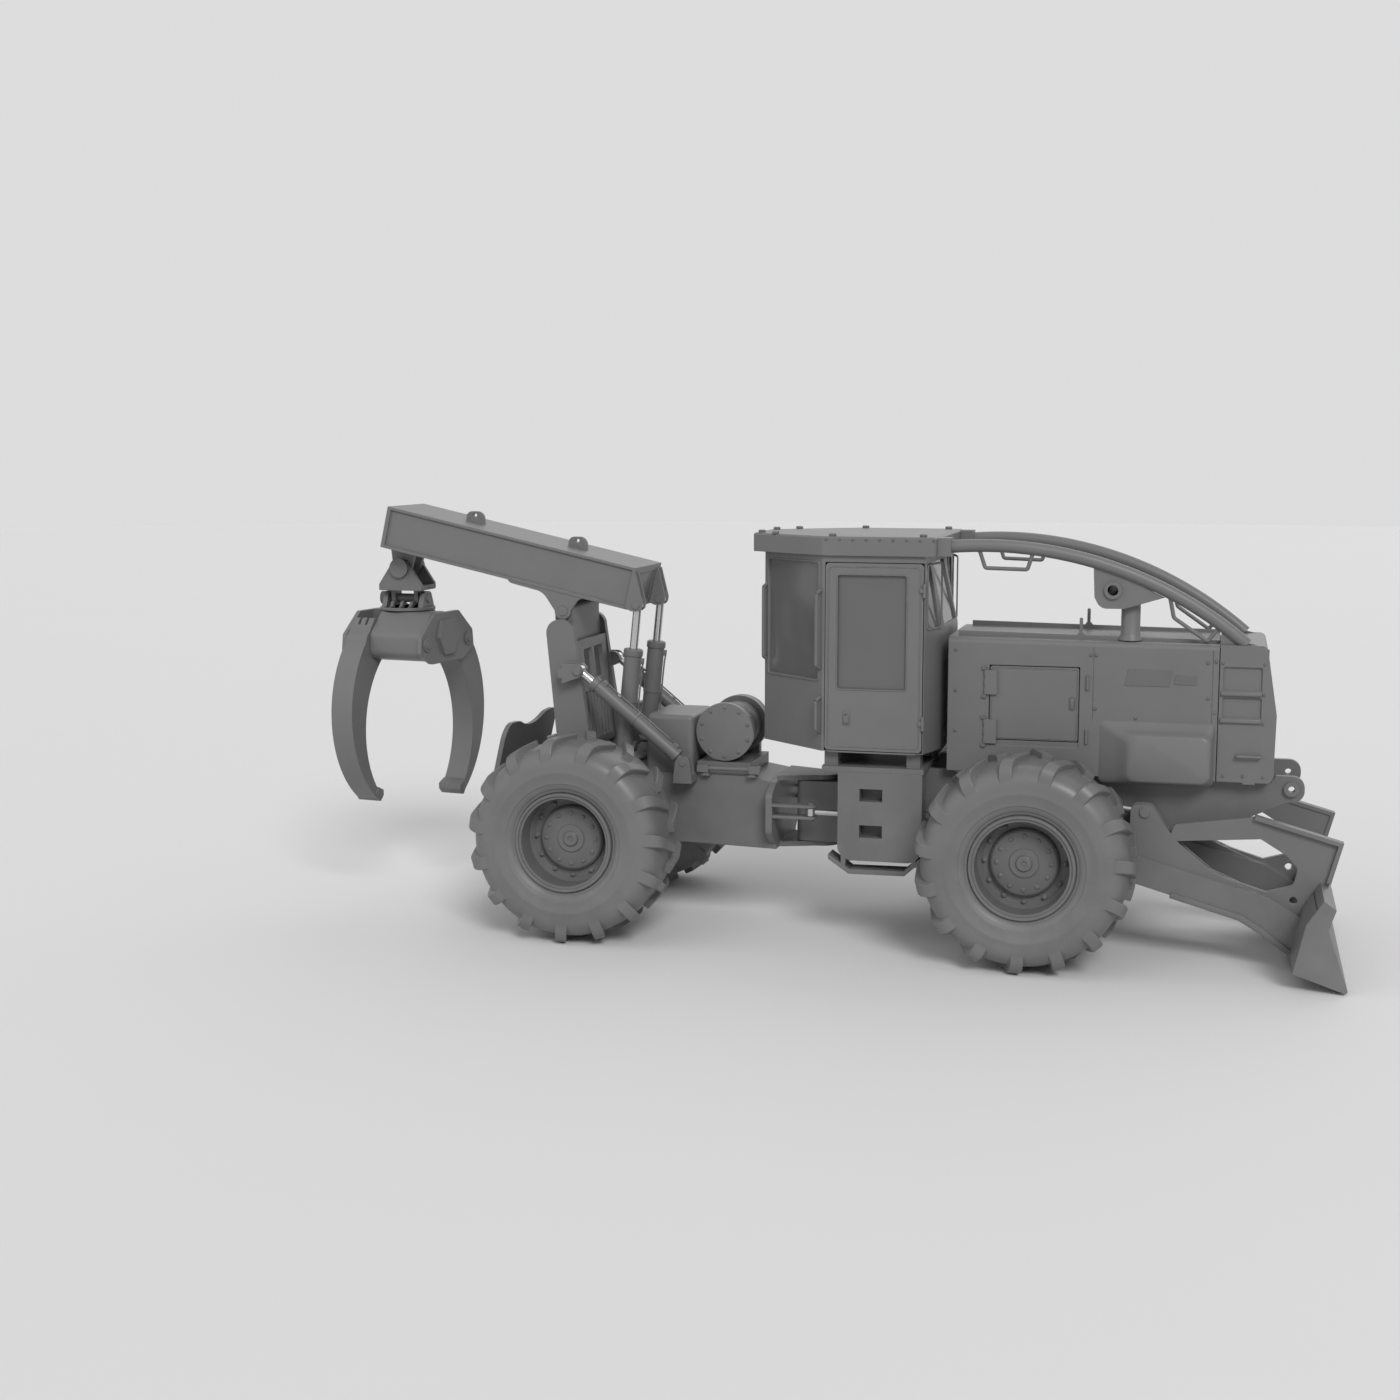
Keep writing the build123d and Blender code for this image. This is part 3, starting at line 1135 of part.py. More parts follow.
def cylinder(foot, eye, y, sizes):
    """Barrel and rod between two pins in the plane of y."""
    bore, rod, foot_half, eye_half, barrel_from, barrel_to, rod_from, cavity_from = sizes
    way = (Vector(eye[0], 0, eye[1]) - Vector(foot[0], 0, foot[1])).normalized()
    start = Vector(foot[0], y, foot[1])
    end = Vector(eye[0], y, eye[1])
    barrel = cross_pin(foot[0], foot[1], y - foot_half, y + foot_half, CYL_PIN + 20)
    barrel += bar(start, start + way * (barrel_from + 5), foot_half * 0.9)
    barrel += bar(start + way * barrel_from, start + way * barrel_to, bore)
    barrel -= bar(start + way * cavity_from, start + way * (barrel_to + 5), rod + PIN_GAP)
    barrel -= cross_pin(foot[0], foot[1], y - foot_half - 20, y + foot_half + 20, CYL_PIN + PIN_GAP)
    piston_rod = bar(start + way * rod_from, end, rod)
    piston_rod += cross_pin(eye[0], eye[1], y - eye_half, y + eye_half, CYL_PIN + 18)
    return barrel, piston_rod


def cylinder_pair(foot, eye, y, sizes):
    """The right and left barrels as one shape and the two rods as another."""
    barrel, piston_rod = cylinder(foot, eye, -y, sizes)
    return both_sides(barrel), both_sides(piston_rod)


def steer_cylinder(side):
    """Steering cylinder with upright pins, drawn flat and then turned up."""
    barrel, piston_rod = cylinder((STEER_FOOT_X, 0), (STEER_EYE_X, 0), 0, STEER_SIZES)
    place = Pos(0, side * STEER_EYE_Y, STEER_Z) * Rot(90, 0, 0)
    return place * barrel, place * piston_rod


def blade():
    """Decking blade with its push arms, upright lugs and top brackets."""
    section = [
        (4128, 150, 0),
        (4540, BLADE_LOW, 0),
        (4556, BLADE_LOW + 20, 0),
        (4390, 520, 60),
        (4446, 690, 0),
        (4350, 760, 0),
        (4220, 560, 0),
    ]
    shape = side_plate(section, -BLADE_HALF, BLADE_HALF)
    pocket = [
        (4290, 690, 0),
        (4340, 560, 60),
        (4460, 180, 0),
        (4700, 180, 0),
        (4700, 690, 0),
    ]
    shape -= side_plate(pocket, -BLADE_HALF + 30, BLADE_HALF - 30)
    back = [
        (4255, 560, 0),
        (4320, 715, 0),
        (4380, 735, 0),
        (4420, 690, 0),
        (4345, 520, 60),
        (4520, 40, 0),
        (4150, 150, 0),
    ]
    shape += side_plate(back, -BLADE_HALF + 20, BLADE_HALF - 20)
    arm_rows = [
        (BLADE_PIVOT_X - 118, BLADE_PIVOT_Z + 118, 110),
        (2862, 905, 0),
        (3938, 616, 40),
        (4240, 440, 0),
        (4160, 130, 0),
        (3884, 330, 120),
        (3719, 430, 120),
        (2869, 668, 0),
        (BLADE_PIVOT_X - 118, BLADE_PIVOT_Z - 118, 110),
    ]
    arm = side_plate(arm_rows, -ARM_OUTER, -ARM_INNER)
    upright_rows = [
        (2792, 880, 0),
        (2800, 1345, 60),
        (2975, 1345, 60),
        (3084, 1175, 30),
        (3200, 1030, 120),
        (3480, 800, 120),
        (3900, 620, 0),
        (3880, 560, 0),
        (2862, 840, 0),
    ]
    eye_x, eye_z = BLADE_CYL_EYE
    for offset in (-54, 54):
        centre = -BLADE_CYL_Y + offset
        arm += side_plate(upright_rows, centre - 14, centre + 14)
    arm += cross_pin(eye_x, eye_z, -BLADE_CYL_Y - 84, -BLADE_CYL_Y - 62, 42)
    bracket_rows = [
        (3166, 1187, 40),
        (3810, 1279, 0),
        (4513, 1086, 20),
        (4425, 764, 0),
        (4392, 601, 0),
        (4300, 420, 0),
        (4180, 420, 0),
        (3900, 500, 0),
        (3150, 780, 0),
        (3110, 1040, 60),
    ]
    bracket = side_plate(bracket_rows, -BRACKET_OUTER, -BRACKET_OUTER + BRACKET_THICK)
    opening_rows = [
        (3162, 1042, 0),
        (3864, 1096, 0),
        (4068, 972, 60),
        (4170, 860, 60),
        (4134, 713, 60),
        (3921, 650, 0),
        (3560, 760, 0),
        (3300, 900, 80),
    ]
    bracket -= side_plate(opening_rows, -BRACKET_OUTER - 5, -BRACKET_OUTER + BRACKET_THICK + 5)
    bracket -= cross_pin(4142, 590, -BRACKET_OUTER - 5, -BRACKET_OUTER + BRACKET_THICK + 5, 32)
    flange_rows = [
        (3806, 1262, 0),
        (3814, 1296, 0),
        (4522, 1100, 0),
        (4432, 752, 0),
        (4396, 762, 0),
        (4480, 1074, 0),
    ]
    flange = side_plate(flange_rows, -BRACKET_OUTER - 40, -BRACKET_OUTER + BRACKET_THICK + 10)
    shape += both_sides(arm + bracket + flange)
    hole = cross_pin(BLADE_PIVOT_X, BLADE_PIVOT_Z, -ARM_OUTER - 5, -ARM_INNER + 5, BLADE_PIN + PIN_GAP)
    shape -= both_sides(hole)
    return shape


def blade_mounts():
    """Pivot bosses of the push arms and ears for the feet of the blade cylinders."""
    wall = FRONT_PLATE_HALF + FRONT_PLATE_THICK / 2 - 1
    shape = cross_pin(BLADE_PIVOT_X, BLADE_PIVOT_Z, -ARM_INNER + 8, -wall, 130)
    shape += cross_pin(BLADE_PIVOT_X, BLADE_PIVOT_Z, -ARM_OUTER - 12, -wall, BLADE_PIN)
    foot_x, foot_z = BLADE_CYL_FOOT
    inner_ear = [
        (foot_x - 110, foot_z - 200, 0),
        (foot_x - 54, foot_z + 54, 52),
        (foot_x + 54, foot_z + 54, 52),
        (foot_x + 110, foot_z - 200, 0),
    ]
    for low, high in ((-BLADE_CYL_Y - 66, -BLADE_CYL_Y - 42), (-BLADE_CYL_Y + 42, -BLADE_CYL_Y + 66)):
        shape += side_plate(inner_ear, low, high)
    shape += span((foot_x - 110, foot_x + 110), (-BLADE_CYL_Y - 66, -wall), (foot_z - 240, foot_z - 150))
    shape += cross_pin(foot_x, foot_z, -BLADE_CYL_Y - 76, -BLADE_CYL_Y + 76, CYL_PIN)
    return both_sides(shape)


def guard_side():
    """Right guard tube with its hanging plate and nose gusset, turned inwards as one."""
    plate_rows = [
        (2440, 3330, 0),
        (2452, 3080, 0),
        (2500, 2985, 90),
        (2700, 2985, 60),
        (3030, 3085, 0),
        (2760, 3220, 0),
    ]
    gusset_rows = [
        (3500, HOOD_TOP_FRONT + FIT, 0),
        (3500, 2860, 0),
        (3700, 2720, 0),
        (3790, HOOD_TOP_FRONT + FIT, 0),
    ]
    side = guard_tube() + side_plate(plate_rows, -12, 12) + side_plate(gusset_rows, -14, 14)
    turn = Pos(TUBE_START[0], -GUARD_Y, 0) * Rot(0, 0, GUARD_TURN) * Pos(-TUBE_START[0], 0, 0)
    hood_top = span((3300, 4000), (-HOOD_HALF - 60, 0), (2500, HOOD_TOP_FRONT + FIT))
    return turn * side - hood_top


def guard_set():
    """Guard tubes with roof sockets, nose gussets, hanging plates and the cross pipe."""
    socket_x = (CAB_SIDE_FRONT_X + 95 + FIT, TUBE_START[0] + 45)
    socket = span(socket_x, (-GUARD_Y - 85, -GUARD_Y + 85), (3412, 3568))
    x, z = CROSS_PIPE
    reach = GUARD_Y - (x - TUBE_START[0]) * sin(radians(GUARD_TURN)) + 40
    shape = both_sides(guard_side() + socket) + cross_pin(x, z, -reach, reach, 72)
    return shape - cross_pin(x, z, -reach - 5, reach + 5, 45)


def exhaust():
    """Upright exhaust stack on the hood, flared at its foot."""
    foot = HOOD_TOP_FRONT + 12
    stack = Pos(2745, -480, foot + 170) * Cylinder(80, 340)
    stack += Pos(2745, -480, foot + 25) * Cone(105, 80, 50)
    return stack


def grab_bars():
    """Grab bars on the rear quarter and beside each door, their feet flush with the cab."""
    shape = Part()
    for x, y, foot_x, foot_y, low, high in GRAB_BARS:
        points = [(foot_x, foot_y, low), (x, y, low + 30), (x, y, high - 30), (foot_x, foot_y, high)]
        shape += bar(points[1], points[2], 16)
        shape += bar(points[0], points[1], 16) + bar(points[3], points[2], 16)
    return both_sides(shape - cab_solid(-FIT, CAB_LOW, CAB_HIGH))


def radiator():
    """Radiator core behind the grille, standing on the nose's floor."""
    return span((3700, 3760), (-460, 460), (HOOD_LOW + 60 + FIT, 2560))


def engine():
    """Engine as one plain block."""
    return span((1700, 3080), (-330, 330), (1300 + FIT, 2300))


def build_front():
    """Pieces of the front frame."""
    save(front_chassis() + steer_mounts() + blade_mounts(), "front_chassis")
    save(axle(FRONT_AXLE_X), "front_axle")
    save(engine(), "engine_block")
    save(hood() + exhaust(), "hood_shell")
    save(nose(), "nose_frame")
    save(radiator(), "radiator_core")
    save(cab_frame(), "cab_frame")
    save(cab_roof(), "cab_roof")
    save(cab_glass(), "cab_glass")
    save(seat(), "seat")
    save(side_tanks(), "side_tanks")
    save(platform(), "cab_platform")
    save(guard_set(), "guard_tubes")
    save(grab_bars(), "grab_bars")


def build_rear():
    """Pieces of the rear frame and the winch."""
    save(rear_chassis(), "rear_chassis")
    save(arch_cylinder_mounts(), "arch_cylinder_mounts")
    save(axle(REAR_AXLE_X), "rear_axle")
    save(butt_plate(), "butt_plate")
    save(winch_housing(), "winch_housing")
    save(winch_drum(), "winch_drum")
    save(tank_cover(), "tank_cover")
    save(lock_bar(), "lock_bar")


def build_sides():
    """Wheels, doors and steering cylinders, one of each per side."""
    for name, side in (("left", 1), ("right", -1)):
        save(tyre(FRONT_AXLE_X, side), "tyre_front_" + name)
        save(rim(FRONT_AXLE_X, side), "rim_front_" + name)
        save(tyre(REAR_AXLE_X, side), "tyre_rear_" + name)
        save(rim(REAR_AXLE_X, side), "rim_rear_" + name)
        save(door(side), "cab_door_" + name)
        save(door_glass(side), "door_glass_" + name)
        save(hood_door(side), "hood_door_" + name)
        barrel, piston_rod = steer_cylinder(side)
        save(barrel, "steer_barrel_" + name)
        save(piston_rod, "steer_rod_" + name)


def build_arm():
    """Arch, boom, grapple, blade and their cylinders."""
    save(arch(), "arch")
    save(boom(), "boom")
    save(hanger(), "hanger")
    save(yoke(), "rotator_yoke")
    save(grapple_head(), "grapple_head")
    save(tong(1), "tong_left")
    save(tong(-1), "tong_right")
    save(blade(), "blade")
    barrels, rods = cylinder_pair(ARCH_CYL_FOOT, ARCH_CYL_EYE, ARCH_CYL_Y, ARCH_SIZES)
    save(barrels, "arch_barrels")
    save(rods, "arch_rods")
    barrels, rods = cylinder_pair(BOOM_CYL_FOOT, BOOM_CYL_EYE, BOOM_CYL_Y, BOOM_SIZES)
    save(barrels, "boom_barrels")
    save(rods, "boom_rods")
    barrels, rods = cylinder_pair(BLADE_CYL_FOOT, BLADE_CYL_EYE, BLADE_CYL_Y, BLADE_SIZES)
    save(barrels, "blade_barrels")
    save(rods, "blade_rods")


if __name__ == "__main__":
    build_front()
    build_rear()
    build_sides()
    build_arm()
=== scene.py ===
"""Looks of the grapple skidder: finishes, fine fittings, floor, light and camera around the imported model."""
import json
import math

import bmesh
import bpy
from mathutils import Matrix, Vector


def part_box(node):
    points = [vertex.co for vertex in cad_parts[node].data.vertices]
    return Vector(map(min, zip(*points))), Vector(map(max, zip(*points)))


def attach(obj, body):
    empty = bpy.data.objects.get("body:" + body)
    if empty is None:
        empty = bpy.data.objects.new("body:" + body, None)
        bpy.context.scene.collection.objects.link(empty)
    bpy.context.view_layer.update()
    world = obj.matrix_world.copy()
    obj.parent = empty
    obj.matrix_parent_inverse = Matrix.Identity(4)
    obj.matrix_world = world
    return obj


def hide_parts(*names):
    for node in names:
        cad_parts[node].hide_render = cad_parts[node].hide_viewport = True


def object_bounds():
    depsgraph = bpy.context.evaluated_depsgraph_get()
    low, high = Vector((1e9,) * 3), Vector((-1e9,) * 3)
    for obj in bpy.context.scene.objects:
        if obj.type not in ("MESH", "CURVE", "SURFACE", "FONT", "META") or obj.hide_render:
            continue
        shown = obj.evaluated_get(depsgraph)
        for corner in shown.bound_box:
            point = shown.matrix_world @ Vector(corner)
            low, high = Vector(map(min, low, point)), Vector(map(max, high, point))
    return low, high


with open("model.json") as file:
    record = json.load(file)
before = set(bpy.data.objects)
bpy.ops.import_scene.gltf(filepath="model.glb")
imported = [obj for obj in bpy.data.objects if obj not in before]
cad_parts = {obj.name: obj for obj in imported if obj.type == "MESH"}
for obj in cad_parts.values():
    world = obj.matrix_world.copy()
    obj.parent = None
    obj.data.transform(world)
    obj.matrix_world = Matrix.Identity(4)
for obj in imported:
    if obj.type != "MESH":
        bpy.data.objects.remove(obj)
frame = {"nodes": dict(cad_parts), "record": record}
cad_low, cad_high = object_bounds()

# Camera of the photograph, in metres and degrees
CAMERA_PLACE = (3.479, -17.245, 4.380)
CAMERA_PITCH = 82.412
CAMERA_YAW = 15.04
CAMERA_LENS = 50.0
CAMERA_SENSOR = 36.0

# Floor and light; suns by azimuth and height in degrees, where they shine from
FLOOR_RADIUS = 90.0
FLOOR_TONE = 0.72
SKY_TONE = 0.72
SKY_STRENGTH = 0.44
LAMPS = [
    {"name": "key_sun", "azimuth": -62.0, "height": 36.0, "strength": 1.75, "spread": 22.0},
    {"name": "fill_sun", "azimuth": -140.0, "height": 30.0, "strength": 0.5, "spread": 60.0},
    {"name": "back_sun", "azimuth": 80.0, "height": 40.0, "strength": 0.6, "spread": 60.0},
]

# Finishes: each has its own grey, a deeper one, a dusty one and the one of worn edges
FINISHES = {
    "body_paint": {"tones": (0.156, 0.138, 0.188, 0.222), "rough": (0.44, 0.6), "coat": 0.06},
    "frame_paint": {"tones": (0.150, 0.125, 0.195, 0.220), "rough": (0.42, 0.6)},
    "rim_paint": {"tones": (0.138, 0.118, 0.178, 0.210), "rough": (0.36, 0.55), "coat": 0.08},
    "tyre_rubber": {"tones": (0.150, 0.132, 0.185, 0.185), "rough": (0.34, 0.58), "dust": 0.8,
                    "grain": 120.0, "grain_depth": 0.25},
    "cast_parts": {"tones": (0.145, 0.115, 0.19, 0.24), "rough": (0.45, 0.6),
                   "grain": 90.0, "grain_depth": 0.4},
    "rod_steel": {"tones": (0.55, 0.48, 0.45, 0.6), "rough": (0.16, 0.3), "metallic": 0.85, "dust": 0.2,
                  "grain": 400.0, "grain_depth": 0.03, "edge": 0.003},
    "rope_steel": {"tones": (0.20, 0.15, 0.24, 0.34), "rough": (0.42, 0.58), "metallic": 0.5,
                   "grain": 160.0, "grain_depth": 0.3, "edge": 0.003},
    "seat_cover": {"tones": (0.06, 0.045, 0.10, 0.09), "rough": (0.6, 0.75), "dust": 0.3,
                   "grain": 300.0, "grain_depth": 0.4},
    "core_dark": {"tones": (0.05, 0.035, 0.12, 0.12), "rough": (0.5, 0.7),
                  "grain": 260.0, "grain_depth": 0.5},
}
DUST_REACH = 1.7
COAT_ROUGHNESS = 0.18
SPECULAR_LEVEL = 0.32

# Points nearer than this are one point, in metres
MERGE = 0.00001
SIDES = ((1, "left"), (-1, "right"))
SOCKET_KINDS = {float: "NodeSocketFloat", int: "NodeSocketInt", tuple: "NodeSocketVector"}


def grey(value):
    return (value, value, value, 1.0)


class Tree:
    """A helper that adds nodes to a node tree and feeds their inputs."""

    def __init__(self, tree):
        self.tree = tree

    def fill(self, node, values):
        """Gives each input its value, or a link where the value is a socket."""
        for name, value in values.items():
            if isinstance(value, bpy.types.NodeSocket):
                self.tree.links.new(value, node.inputs[name])
            else:
                node.inputs[name].default_value = value

    def add(self, kind, values=None, **settings):
        node = self.tree.nodes.new(kind)
        for name, value in settings.items():
            setattr(node, name, value)
        self.fill(node, values or {})
        return node

    def out(self, socket, kind, values=None, **settings):
        """One output of a new node."""
        return self.add(kind, values, **settings).outputs[socket]

    def shape(self, kind, values=None, **settings):
        """The first output of a new geometry node."""
        return self.out(0, "GeometryNode" + kind, values, **settings)

    def figure(self, operation, *values, **settings):
        """The result of a sum on one to three values."""
        return self.out(0, "ShaderNodeMath", dict(enumerate(values)), operation=operation, **settings)

    def ranged(self, value, start, end, low=0.0, high=1.0):
        """A value moved from one range to another and kept in it."""
        values = {"Value": value, "From Min": start, "From Max": end, "To Min": low, "To Max": high}
        return self.out("Result", "ShaderNodeMapRange", values, clamp=True)

    def noise(self, scale, detail, roughness):
        """Noise from 0 to 1 on the object's own coordinates."""
        place = self.out("Object", "ShaderNodeTexCoord")
        values = {"Vector": place, "Scale": scale, "Detail": detail, "Roughness": roughness}
        return self.out("Fac", "ShaderNodeTexNoise", values)

    def colours(self, mask, low, high):
        """A colour that runs from low to high with the mask."""
        return self.out(2, "ShaderNodeMix", {"Factor": mask, 6: low, 7: high}, data_type="RGBA")


def new_group(kind, name, inputs, outputs):
    """An empty node group, its given sockets and its output node; an input is a value or a socket kind."""
    group = bpy.data.node_groups.new(name, kind)
    for label, value in inputs.items():
        if isinstance(value, str):
            group.interface.new_socket(label, in_out="INPUT", socket_type=value)
        else:
            socket = group.interface.new_socket(label, in_out="INPUT", socket_type=SOCKET_KINDS[type(value)])
            socket.default_value = value
    for label, socket_kind in outputs.items():
        group.interface.new_socket(label, in_out="OUTPUT", socket_type=socket_kind)
    tree = Tree(group)
    return tree, tree.add("NodeGroupInput").outputs, tree.add("NodeGroupOutput")


def make_dust_group():
    """Dust that lies low on the machine and in cloudy patches: gives a mask from 0 to 1."""
    sizes = {"Amount": 0.5, "Reach": 1.6, "Patch Scale": 2.0}
    tree, given, result = new_group("ShaderNodeTree", "settled_dust", sizes, {"Mask": "NodeSocketFloat"})
    place = tree.out("Object", "ShaderNodeTexCoord")
    height = tree.out("Z", "ShaderNodeSeparateXYZ", {0: place})
    lifted = tree.figure("ADD", tree.ranged(height, 0.0, given["Reach"], 1.0, 0.0), 0.25)
    patches = tree.ranged(tree.noise(given["Patch Scale"], 6.0, 0.62), 0.38, 0.68)
    both = tree.figure("MULTIPLY", lifted, patches)
    tree.fill(result, {"Mask": tree.figure("MULTIPLY", both, given["Amount"], use_clamp=True)})
    return tree.tree


def make_edge_group():
    """Rounded look of cut edges: gives a softened normal and a mask that is 1 along outer edges."""
    tree, given, result = new_group("ShaderNodeTree", "worn_edges", {"Radius": 0.008, "Break Up": 14.0},
                                    {"Normal": "NodeSocketVector", "Mask": "NodeSocketFloat"})
    soft = tree.out("Normal", "ShaderNodeBevel", {"Radius": given["Radius"]}, samples=4)
    flat = tree.out("Normal", "ShaderNodeNewGeometry")
    likeness = tree.out("Value", "ShaderNodeVectorMath", {0: soft, 1: flat}, operation="DOT_PRODUCT")
    edge = tree.ranged(likeness, 0.99, 0.80)
    broken = tree.ranged(tree.noise(given["Break Up"], 8.0, 0.7), 0.46, 0.60)
    tree.fill(result, {"Normal": soft, "Mask": tree.figure("MULTIPLY", edge, broken)})
    return tree.tree


def make_grain_group():
    """Fine unevenness of a sprayed, cast or moulded skin: a height and a slow variation from 0 to 1."""
    tree, given, result = new_group("ShaderNodeTree", "skin_grain", {"Scale": 220.0, "Waviness": 3.0},
                                    {"Height": "NodeSocketFloat", "Variation": "NodeSocketFloat"})
    tree.fill(result, {"Height": tree.noise(given["Scale"], 3.0, 0.5),
                       "Variation": tree.noise(given["Waviness"], 4.0, 0.55)})
    return tree.tree


DUST = make_dust_group()
EDGES = make_edge_group()
GRAIN = make_grain_group()


def new_material(name):
    material = bpy.data.materials.new(name)
    material.use_nodes = True
    return material, Tree(material.node_tree), material.node_tree.nodes["Principled BSDF"]


def skin(name, tones, rough, metallic=0.0, coat=0.0, dust=0.6, grain=220.0, grain_depth=0.12, edge=0.007):
    """A solid finish with slow tone variation, settled dust, worn edges and a fine grain."""
    material, tree, surface = new_material(name)
    tone, deep_tone, dust_tone, worn_tone = [grey(value) for value in tones]
    edges = tree.add("ShaderNodeGroup", {"Radius": edge}, node_tree=EDGES).outputs
    grains = tree.add("ShaderNodeGroup", {"Scale": grain}, node_tree=GRAIN).outputs
    dusting = tree.out("Mask", "ShaderNodeGroup", {"Amount": dust, "Reach": DUST_REACH}, node_tree=DUST)
    plain = tree.colours(grains["Variation"], deep_tone, tone)
    dusty = tree.colours(dusting, plain, dust_tone)
    bump = {"Strength": grain_depth, "Distance": 0.001, "Height": grains["Height"], "Normal": edges["Normal"]}
    tree.fill(surface, {
        "Base Color": tree.colours(edges["Mask"], dusty, worn_tone),
        "Roughness": tree.ranged(dusting, 0.0, 1.0, rough[0], rough[1]),
        "Metallic": metallic,
        "Coat Weight": coat,
        "Coat Roughness": COAT_ROUGHNESS,
        "Specular IOR Level": SPECULAR_LEVEL,
        "Normal": tree.out("Normal", "ShaderNodeBump", bump),
    })
    return material


def make_glass(name):
    """Smoked safety glass: dark, glossy and part see-through."""
    material, tree, surface = new_material(name)
    slow = tree.out("Variation", "ShaderNodeGroup", {"Waviness": 1.4}, node_tree=GRAIN)
    tree.fill(surface, {
        "Base Color": tree.colours(slow, grey(0.118), grey(0.142)),
        "Roughness": tree.ranged(slow, 0.0, 1.0, 0.05, 0.14),
        "Alpha": 0.88,
        "IOR": 1.5,
    })
    return material


MATERIALS = {name: skin(name, **values) for name, values in FINISHES.items()}
MATERIALS["smoked_glass"] = make_glass("smoked_glass")


def opened(*meshes):
    """One editable mesh of several."""
    work = bmesh.new()
    for mesh in meshes:
        work.from_mesh(mesh)
    return work


def closed(work, mesh):
    """Writes an editable mesh back and lets go of it."""
    work.to_mesh(mesh)
    work.free()
    return mesh


def finish_mesh(mesh):
    """Closes seams and poles and points all faces outwards."""
    work = opened(mesh)
    bmesh.ops.remove_doubles(work, verts=work.verts, dist=MERGE)
    bmesh.ops.recalc_face_normals(work, faces=work.faces)
    return closed(work, mesh)


def mesh_of(name, points, faces):
    mesh = bpy.data.meshes.new(name)
    mesh.from_pydata(points, [], faces)
    return finish_mesh(mesh)


def shell(name, rings, in_loop=False):
    """Mesh through rings of as many points each: a loop of rings, or a row with both ends capped."""
    count, total = len(rings[0]), len(rings[0]) * len(rings)
    faces = [] if in_loop else [tuple(range(count)), tuple(range(total - count, total))]
    for layer in range(len(rings) if in_loop else len(rings) - 1):
        low = layer * count
        high = (low + count) % total
        faces += [(low + i, low + (i + 1) % count, high + (i + 1) % count, high + i) for i in range(count)]
    return mesh_of(name, [point for ring in rings for point in ring], faces)


def added(name, data):
    """A new object in the scene."""
    thing = bpy.data.objects.new(name, data)
    bpy.context.scene.collection.objects.link(thing)
    return thing


def evaluated(*holders):
    """The first object's mesh with all its modifiers, after which the objects are gone."""
    graph = bpy.context.evaluated_depsgraph_get()
    mesh = bpy.data.meshes.new_from_object(holders[0].evaluated_get(graph), depsgraph=graph)
    for holder in holders:
        bpy.data.objects.remove(holder)
    return mesh


def new_piece(name, mesh, body, finish, crease=32.0):
    """Puts a finished mesh into the scene, gives it its finish and lets it ride on its body."""
    mesh.materials.clear()
    mesh.materials.append(MATERIALS[finish])
    mesh.polygons.foreach_set("material_index", [0] * len(mesh.polygons))
    mesh.shade_smooth()
    mesh.set_sharp_from_angle(angle=math.radians(crease))
    piece = added(name, mesh)
    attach(piece, body)
    return piece


def box_mesh(name, boxes):
    """One mesh of several blocks, each given as low and high corners."""
    points, faces = [], []
    for (x0, y0, z0), (x1, y1, z1) in boxes:
        start = len(points)
        points += [(x, y, z) for x in (x0, x1) for y in (y0, y1) for z in (z0, z1)]
        for face in ((0, 1, 3, 2), (4, 6, 7, 5), (0, 4, 5, 1), (2, 3, 7, 6), (0, 2, 6, 4), (1, 5, 7, 3)):
            faces.append(tuple(start + corner for corner in face))
    return mesh_of(name, points, faces)


def soften(mesh, width, segments=2):
    """Rounds the sharp edges of a mesh of blocks or plates."""
    work = opened(mesh)
    whole = [edge for edge in work.edges if len(edge.link_faces) == 2]
    sharp = [edge for edge in whole if edge.calc_face_angle() > math.radians(35)]
    bmesh.ops.bevel(work, geom=sharp, offset=width, segments=segments, profile=0.5, affect="EDGES",
                    clamp_overlap=True)
    return closed(work, mesh)


def turned_mesh(name, profile, sides=48):
    """Mesh of a closed profile (along Y, radius) turned about the Y axis."""
    rings = []
    for angle in [2 * math.pi * step / sides for step in range(sides)]:
        rings.append([(out * math.cos(angle), along, out * math.sin(angle)) for along, out in profile])
    return shell(name, rings, in_loop=True)


def disc_mesh(name, low, high, radius, sides):
    """Round or many-sided disc between two places along Y."""
    return turned_mesh(name, [(low, 0.0), (low, radius), (high, radius), (high, 0.0)], sides)


def moved(mesh, matrix):
    """A copy of a mesh, moved."""
    copy = mesh.copy()
    copy.transform(matrix)
    return copy


def shifted(mesh, x, y, z):
    return moved(mesh, Matrix.Translation((x, y, z)))


def placed(mesh, start, way=(0.0, 1.0, 0.0)):
    """A copy of a turned mesh with its axis laid along a direction from a place."""
    turn = Vector((0.0, 1.0, 0.0)).rotation_difference(Vector(way)).to_matrix().to_4x4()
    return moved(mesh, Matrix.Translation(start) @ turn)


def laid_along(mesh, start, way, up):
    """A copy with its Y axis along way and its Z axis along up, moved to start."""
    across = way.cross(up).normalized()
    turn = Matrix((across, way, across.cross(way))).transposed().to_4x4()
    return moved(mesh, Matrix.Translation(start) @ turn)


def mirrored(mesh, side):
    """A copy as it is for the left side, or mirrored for the right side."""
    if side > 0:
        return mesh.copy()
    return finish_mesh(moved(mesh, Matrix.Scale(-1.0, 4, (0.0, 1.0, 0.0))))


def joined(name, meshes):
    """One mesh made of several."""
    return closed(opened(*meshes), bpy.data.meshes.new(name))


def both_hands(mesh):
    return joined(mesh.name, [mesh, mirrored(mesh, -1)])


def new_pair(name, mesh, body, finish):
    """A piece on the left and its mirror image on the right; HAND in the body's name is the side's name."""
    for side, hand in SIDES:
        new_piece(name + "_" + hand, mirrored(mesh, side), body.replace("HAND", hand), finish)


